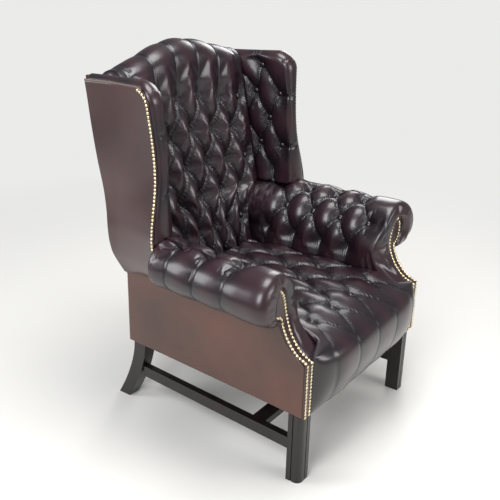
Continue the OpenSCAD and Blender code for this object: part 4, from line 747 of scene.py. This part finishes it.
# Materials
def node_material(name, rough, coat=0.0, coat_rough=0.1, metallic=0.0, specular=0.5):
    m = bpy.data.materials.new(name)
    m.use_nodes = True
    b = m.node_tree.nodes["Principled BSDF"]
    b.inputs["Roughness"].default_value = rough
    b.inputs["Coat Weight"].default_value = coat
    b.inputs["Coat Roughness"].default_value = coat_rough
    b.inputs["Metallic"].default_value = metallic
    b.inputs["Specular IOR Level"].default_value = specular
    return m, m.node_tree, b


def add(tree, kind, **values):
    node = tree.nodes.new(kind)
    for key, value in values.items():
        if key in node.inputs:
            node.inputs[key].default_value = value
        else:
            setattr(node, key, value)
    return node


def group(name, inputs, outputs):
    tree = bpy.data.node_groups.new(name, "ShaderNodeTree")
    for label, value in inputs:
        kind = "NodeSocketColor" if isinstance(value, tuple) else "NodeSocketFloat"
        tree.interface.new_socket(label, in_out="INPUT", socket_type=kind).default_value = value
    for label, kind in outputs:
        tree.interface.new_socket(label, in_out="OUTPUT", socket_type=kind)
    return tree, tree.nodes.new("NodeGroupInput"), tree.nodes.new("NodeGroupOutput")


def maths(tree, operation, a, b=None, clamp=False):
    node = tree.nodes.new("ShaderNodeMath")
    node.operation, node.use_clamp = operation, clamp
    for k, value in enumerate((a, b)):
        if value is None:
            continue
        if hasattr(value, "is_linked"):
            tree.links.new(value, node.inputs[k])
        else:
            node.inputs[k].default_value = value
    return node.outputs[0]


def grain_group():
    """Fine leather grain and soft cloudiness of the dye."""
    tree, given, out = group("leather_grain", [("Grain Size", 900.0), ("Cloud Size", 5.0)],
                             [("Height", "NodeSocketFloat"), ("Cloud", "NodeSocketFloat")])
    place = tree.nodes.new("ShaderNodeTexCoord")
    cells = add(tree, "ShaderNodeTexVoronoi", feature="SMOOTH_F1")
    cloud = add(tree, "ShaderNodeTexNoise", Detail=4.0, Roughness=0.6)
    fine = add(tree, "ShaderNodeTexNoise", Detail=3.0)
    for node, size in ((cells, "Grain Size"), (cloud, "Cloud Size")):
        tree.links.new(place.outputs["Object"], node.inputs["Vector"])
        tree.links.new(given.outputs[size], node.inputs["Scale"])
    tree.links.new(place.outputs["Object"], fine.inputs["Vector"])
    tree.links.new(maths(tree, "MULTIPLY", given.outputs["Grain Size"], 0.2), fine.inputs["Scale"])
    coarse = maths(tree, "MULTIPLY", cells.outputs["Distance"], 0.6)
    tree.links.new(maths(tree, "ADD", coarse, fine.outputs["Fac"]), out.inputs["Height"])
    tree.links.new(cloud.outputs["Fac"], out.inputs["Cloud"])
    return tree


def gathers_group():
    """Fine wrinkles that spread from each button, from the leather's place in the buttoning."""
    tree, given, out = group("button_gathers", [("Count", 7.0), ("Reach", 1.0)],
                             [("Height", "NodeSocketFloat"), ("Crest", "NodeSocketFloat")])
    store = add(tree, "ShaderNodeAttribute", attribute_name="buttoning")
    split = tree.nodes.new("ShaderNodeSeparateXYZ")
    tree.links.new(store.outputs["Vector"], split.inputs[0])
    offset = [maths(tree, "SUBTRACT", split.outputs[k], maths(tree, "ROUND", split.outputs[k]))
              for k in (0, 1)]
    across = maths(tree, "MULTIPLY", maths(tree, "ADD", *offset), 1.4)
    along = maths(tree, "MULTIPLY", maths(tree, "SUBTRACT", *offset), 2.0)
    far = maths(tree, "SQRT", maths(tree, "ADD", maths(tree, "MULTIPLY", across, across),
                                    maths(tree, "MULTIPLY", along, along)))
    safe = maths(tree, "MAXIMUM", far, 0.02)
    where = tree.nodes.new("ShaderNodeCombineXYZ")
    for k, side in enumerate((across, along)):
        turned = maths(tree, "MULTIPLY", maths(tree, "DIVIDE", side, safe), given.outputs["Count"])
        whole = maths(tree, "MULTIPLY", maths(tree, "ROUND", split.outputs[k]), 3.7)
        tree.links.new(maths(tree, "ADD", turned, whole), where.inputs[k])
    tree.links.new(maths(tree, "MULTIPLY", far, 1.5), where.inputs[2])
    ridges = add(tree, "ShaderNodeTexNoise", Scale=1.0, Detail=2.0, Roughness=0.6)
    tree.links.new(where.outputs[0], ridges.inputs["Vector"])
    fade = maths(tree, "SUBTRACT", 1.0, maths(tree, "DIVIDE", far, given.outputs["Reach"]), clamp=True)
    mask = maths(tree, "MULTIPLY", fade, split.outputs["Z"])
    height = maths(tree, "MULTIPLY", ridges.outputs["Fac"], mask)
    # Short creases across each pleat
    for k in (0, 1):
        line = tree.nodes.new("ShaderNodeCombineXYZ")
        tree.links.new(maths(tree, "MULTIPLY", split.outputs[1 - k], 11.0), line.inputs[0])
        tree.links.new(maths(tree, "MULTIPLY", split.outputs[k], 1.7), line.inputs[1])
        short = add(tree, "ShaderNodeTexNoise", Scale=1.0, Detail=0.0)
        tree.links.new(line.outputs[0], short.inputs["Vector"])
        beside = maths(tree, "DIVIDE", maths(tree, "ABSOLUTE", offset[k]), 0.24)
        close = maths(tree, "SUBTRACT", 1.0, beside, clamp=True)
        shown = maths(tree, "MULTIPLY", close, split.outputs["Z"])
        ridge = maths(tree, "ABSOLUTE", maths(tree, "SUBTRACT", short.outputs["Fac"], 0.5))
        crease = maths(tree, "MULTIPLY", maths(tree, "MULTIPLY", ridge, shown), 2.2)
        height = maths(tree, "ADD", height, crease)
    tree.links.new(height, out.inputs["Height"])
    # Crest: near 1 on the puffs' crests and 0 along the valleys and at the pits; the leather's colour uses it
    # for a painted highlight on the crests and painted shade in the valleys
    waves = [maths(tree, "ABSOLUTE", maths(tree, "SINE", maths(tree, "MULTIPLY", split.outputs[k], math.pi)))
             for k in (0, 1)]
    tree.links.new(maths(tree, "MULTIPLY", *waves), out.inputs["Crest"])
    return tree


GRAIN, GATHERS = grain_group(), gathers_group()


def place_group(tree, source, **values):
    node = tree.nodes.new("ShaderNodeGroup")
    node.node_tree = source
    for key, value in values.items():
        node.inputs[key.replace("_", " ")].default_value = value
    return node


def colour_ramp(tree, factor, stops):
    ramp = tree.nodes.new("ShaderNodeValToRGB")
    tree.links.new(factor, ramp.inputs["Fac"])
    while len(ramp.color_ramp.elements) < len(stops):
        ramp.color_ramp.elements.new(0.5)
    for element, (at, colour) in zip(ramp.color_ramp.elements, stops):
        element.position, element.color = at, (*colour, 1)
    return ramp.outputs["Color"]


def bump(tree, height, distance, strength=1.0, after=None):
    node = tree.nodes.new("ShaderNodeBump")
    node.inputs["Distance"].default_value = distance
    node.inputs["Strength"].default_value = strength
    tree.links.new(height, node.inputs["Height"])
    if after:
        tree.links.new(after, node.inputs["Normal"])
    return node.outputs["Normal"]


def buttoned_leather():
    m, tree, b = node_material("buttoned_leather", 0.3, coat=0.45, coat_rough=0.2)
    grain = place_group(tree, GRAIN, Grain_Size=700.0, Cloud_Size=6.0)
    gathers = place_group(tree, GATHERS, Count=11.0, Reach=1.2)
    clouds = maths(tree, "ADD", grain.outputs["Cloud"], 0.15)
    # Painted light: the base colour is lighter on the puffs' crests, a painted highlight, and near black
    # along the valleys and at the pits, painted shade; the cloudiness varies it at random
    painted_crest_light = maths(tree, "MULTIPLY", gathers.outputs["Crest"], clouds)
    colour = colour_ramp(tree, painted_crest_light, [(0.05, (0.008, 0.003, 0.006)), (0.3, (0.013, 0.0046, 0.0085)),
                                        (0.65, (0.024, 0.0075, 0.0115))])
    tree.links.new(colour, b.inputs["Base Color"])
    rough = maths(tree, "ADD", maths(tree, "MULTIPLY", grain.outputs["Cloud"], 0.2), 0.26)
    tree.links.new(rough, b.inputs["Roughness"])
    fine = bump(tree, grain.outputs["Height"], 0.0003, 0.35)
    tree.links.new(bump(tree, gathers.outputs["Height"], 0.0035, 0.8, fine), b.inputs["Normal"])
    return m


def panel_leather(name, dark, light):
    m, tree, b = node_material(name, 0.42, coat=0.3, coat_rough=0.22)
    grain = place_group(tree, GRAIN, Grain_Size=700.0, Cloud_Size=3.0)
    colour = colour_ramp(tree, grain.outputs["Cloud"], [(0.3, dark), (0.7, light)])
    tree.links.new(colour, b.inputs["Base Color"])
    rough = maths(tree, "ADD", maths(tree, "MULTIPLY", grain.outputs["Cloud"], 0.2), 0.24)
    tree.links.new(rough, b.inputs["Roughness"])
    tree.links.new(bump(tree, grain.outputs["Height"], 0.0003, 0.4), b.inputs["Normal"])
    return m


def antique_brass():
    m, tree, b = node_material("antique_brass", 0.3, metallic=1.0)
    place = tree.nodes.new("ShaderNodeTexCoord")
    patina = add(tree, "ShaderNodeTexNoise", Scale=160.0, Detail=3.0)
    tree.links.new(place.outputs["Object"], patina.inputs["Vector"])
    tones = [(0.35, (0.66, 0.53, 0.31)), (0.65, (0.92, 0.82, 0.58))]
    tree.links.new(colour_ramp(tree, patina.outputs["Fac"], tones), b.inputs["Base Color"])
    rough = maths(tree, "ADD", maths(tree, "MULTIPLY", patina.outputs["Fac"], 0.2), 0.18)
    tree.links.new(rough, b.inputs["Roughness"])
    return m


def polished_wood(name, dark, light, rough, axis=2):
    """Wood with its grain along one axis."""
    m, tree, b = node_material(name, rough, coat=0.15, coat_rough=0.25)
    place = tree.nodes.new("ShaderNodeTexCoord")
    stretch = add(tree, "ShaderNodeMapping")
    size = [60.0, 60.0, 60.0]
    size[axis] = 3.0
    stretch.inputs["Scale"].default_value = size
    tree.links.new(place.outputs["Object"], stretch.inputs["Vector"])
    grain = add(tree, "ShaderNodeTexNoise", Scale=1.0, Detail=6.0, Roughness=0.65, Distortion=0.4)
    tree.links.new(stretch.outputs["Vector"], grain.inputs["Vector"])
    tones = [(0.35, dark), (0.7, light)]
    tree.links.new(colour_ramp(tree, grain.outputs["Fac"], tones), b.inputs["Base Color"])
    tree.links.new(maths(tree, "ADD", maths(tree, "MULTIPLY", grain.outputs["Fac"], 0.2), rough - 0.1),
                   b.inputs["Roughness"])
    tree.links.new(bump(tree, grain.outputs["Fac"], 0.0004, 0.3), b.inputs["Normal"])
    return m


def woven_cloth(name, dark, light):
    m, tree, b = node_material(name, 0.9, specular=0.2)
    place = tree.nodes.new("ShaderNodeTexCoord")
    weave = []
    for turn in ("X", "Y"):
        bands = add(tree, "ShaderNodeTexWave", wave_type="BANDS", bands_direction=turn, Scale=180.0,
                    Distortion=0.6)
        tree.links.new(place.outputs["Object"], bands.inputs["Vector"])
        weave.append(bands.outputs["Fac"])
    threads = maths(tree, "MULTIPLY", *weave)
    tree.links.new(colour_ramp(tree, threads, [(0.0, dark), (0.8, light)]), b.inputs["Base Color"])
    tree.links.new(bump(tree, threads, 0.0006, 0.6), b.inputs["Normal"])
    return m


def drawn_wire():
    m, tree, b = node_material("drawn_wire", 0.35, metallic=1.0)
    place = tree.nodes.new("ShaderNodeTexCoord")
    streaks = add(tree, "ShaderNodeTexNoise", Scale=240.0, Detail=2.0)
    tree.links.new(place.outputs["Object"], streaks.inputs["Vector"])
    tones = [(0.3, (0.30, 0.30, 0.31)), (0.7, (0.52, 0.52, 0.53))]
    tree.links.new(colour_ramp(tree, streaks.outputs["Fac"], tones), b.inputs["Base Color"])
    return m


tufted = buttoned_leather()
finishes = {
    "leather_buttoned": tufted,
    "leather_button": tufted,
    "leather_outside": panel_leather("panel_leather", (0.042, 0.014, 0.009), (0.104, 0.034, 0.019)),
    "wing_leather": panel_leather("wing_panel_leather", (0.026, 0.010, 0.011), (0.060, 0.023, 0.021)),
    # Piping leather in a lighter tan: partly real wear of the welt and partly a painted highlight along its
    # raised edge
    "rubbed_leather": panel_leather("rubbed_piping_leather", (0.070, 0.042, 0.032), (0.165, 0.112, 0.085)),
    "nail_brass": antique_brass(),
    "leg_wood": polished_wood("dark_leg_wood", (0.005, 0.0035, 0.003), (0.015, 0.009, 0.007), 0.36),
    "frame_wood": polished_wood("plain_frame_wood", (0.42, 0.28, 0.15), (0.62, 0.45, 0.27), 0.6, axis=0),
    "spring_steel": drawn_wire(),
    "inner_cloth": woven_cloth("hessian", (0.25, 0.17, 0.09), (0.5, 0.38, 0.22)),
    "dust_cloth": woven_cloth("dust_cloth", (0.008, 0.008, 0.009), (0.03, 0.03, 0.032)),
}


def dress(piece, finish):
    piece.data.materials.clear()
    piece.data.materials.append(finishes[finish])


for piece in covers + buttons:
    dress(piece, "leather_buttoned")
for piece in panels:
    dress(piece, "leather_outside" if piece.name.startswith("side_") else "wing_leather")
# The piping's lighter tan is partly real wear and partly a painted highlight along the raised edge
for piece in welts:
    dress(piece, "rubbed_leather")
slots = {s["node"]: s["material_slot"] for s in frame["record"]["subparts"]}
for node, piece in frame["nodes"].items():
    for k in range(len(piece.material_slots)):
        piece.material_slots[k].material = finishes[slots[node]]


# Camera at the photograph's place
def photo_camera():
    data = bpy.data.cameras.new("camera")
    data.lens, data.sensor_width = 811 / 500 * 36, 36
    camera = bpy.data.objects.new("camera", data)
    yaw, pitch, roll = math.radians(54.57), math.radians(23.16), math.radians(-1.36)
    forward = Vector((math.cos(pitch) * math.sin(yaw), math.cos(pitch) * math.cos(yaw), -math.sin(pitch)))
    right = Vector((math.cos(yaw), -math.sin(yaw), 0))
    down = forward.cross(right)
    across = right * math.cos(roll) + down * math.sin(roll)
    upright = right * math.sin(roll) - down * math.cos(roll)
    turn = Matrix((across, upright, -forward)).transposed().to_4x4()
    camera.matrix_world = Matrix.Translation((-1.903, -0.936 - MIDDLE / 1000, 1.493)) @ turn
    bpy.context.scene.collection.objects.link(camera)
    bpy.context.scene.camera = camera


photo_camera()


def soft_light(name, place, aim, size, power, tint=(1, 1, 1)):
    data = bpy.data.lights.new(name, "AREA")
    data.shape, data.size, data.size_y = "RECTANGLE", size[0], size[1]
    data.energy, data.color = power, tint
    lamp = bpy.data.objects.new(name, data)
    turn = (Vector(aim) - Vector(place)).to_track_quat("-Z", "Y").to_matrix().to_4x4()
    lamp.matrix_world = Matrix.Translation(place) @ turn
    bpy.context.scene.collection.objects.link(lamp)


soft_light("window_light", (-2.9, -0.7, 2.5), (0.1, 0, 0.7), (1.5, 1.7), 84, (0.95, 0.97, 1.0))
soft_light("overhead_light", (0.1, -0.3, 2.9), (0, 0, 0.5), (1.3, 1.3), 48)
soft_light("front_light", (0.6, -3.2, 1.8), (0, 0, 0.5), (1.8, 1.2), 48)
soft_light("rear_light", (-2.2, 2.4, 1.7), (0, 0, 0.7), (1.2, 1.6), 44, (0.95, 0.97, 1.0))
soft_light("far_light", (3.0, 1.0, 2.0), (0, 0, 0.7), (1.2, 1.6), 32)

BACKDROP = (0.83, 0.83, 0.82, 1)
world = bpy.data.worlds.new("studio")
world.use_nodes = True
bpy.context.scene.world = world
world_tree = world.node_tree
sky = world_tree.nodes["Background"]
sky.inputs["Color"].default_value = (0.86, 0.88, 0.90, 1)
sky.inputs["Strength"].default_value = 0.28
seen = world_tree.nodes.new("ShaderNodeBackground")
seen.inputs["Color"].default_value = BACKDROP
seen.inputs["Strength"].default_value = 1.0
ray = world_tree.nodes.new("ShaderNodeLightPath")
pick = world_tree.nodes.new("ShaderNodeMixShader")
world_tree.links.new(ray.outputs["Is Camera Ray"], pick.inputs[0])
world_tree.links.new(sky.outputs[0], pick.inputs[1])
world_tree.links.new(seen.outputs[0], pick.inputs[2])
world_tree.links.new(pick.outputs[0], world_tree.nodes["World Output"].inputs["Surface"])


def pale_floor():
    """A plain pale floor. Far from the chair it turns into the backdrop's own pale colour for the camera."""
    m, tree, b = node_material("pale_floor", 0.7)
    b.inputs["Base Color"].default_value = (0.80, 0.785, 0.75, 1)
    place = tree.nodes.new("ShaderNodeTexCoord")
    reach = add(tree, "ShaderNodeVectorMath", operation="LENGTH")
    tree.links.new(place.outputs["Object"], reach.inputs[0])
    far = maths(tree, "DIVIDE", maths(tree, "SUBTRACT", reach.outputs["Value"], 0.9), 1.6, clamp=True)
    plain = add(tree, "ShaderNodeEmission", Color=BACKDROP, Strength=1.0)
    ray = tree.nodes.new("ShaderNodeLightPath")
    pick = tree.nodes.new("ShaderNodeMixShader")
    tree.links.new(maths(tree, "MULTIPLY", far, ray.outputs["Is Camera Ray"]), pick.inputs[0])
    tree.links.new(b.outputs[0], pick.inputs[1])
    tree.links.new(plain.outputs[0], pick.inputs[2])
    tree.links.new(pick.outputs[0], tree.nodes["Material Output"].inputs["Surface"])
    return m


floor_mesh = bpy.data.meshes.new("floor")
floor_mesh.from_pydata([(-30, -30, 0), (30, -30, 0), (30, 30, 0), (-30, 30, 0)], [], [(0, 1, 2, 3)])
floor = new_piece("floor", floor_mesh)
floor_mesh.materials.append(pale_floor())

bpy.context.scene.view_settings.view_transform = "Standard"
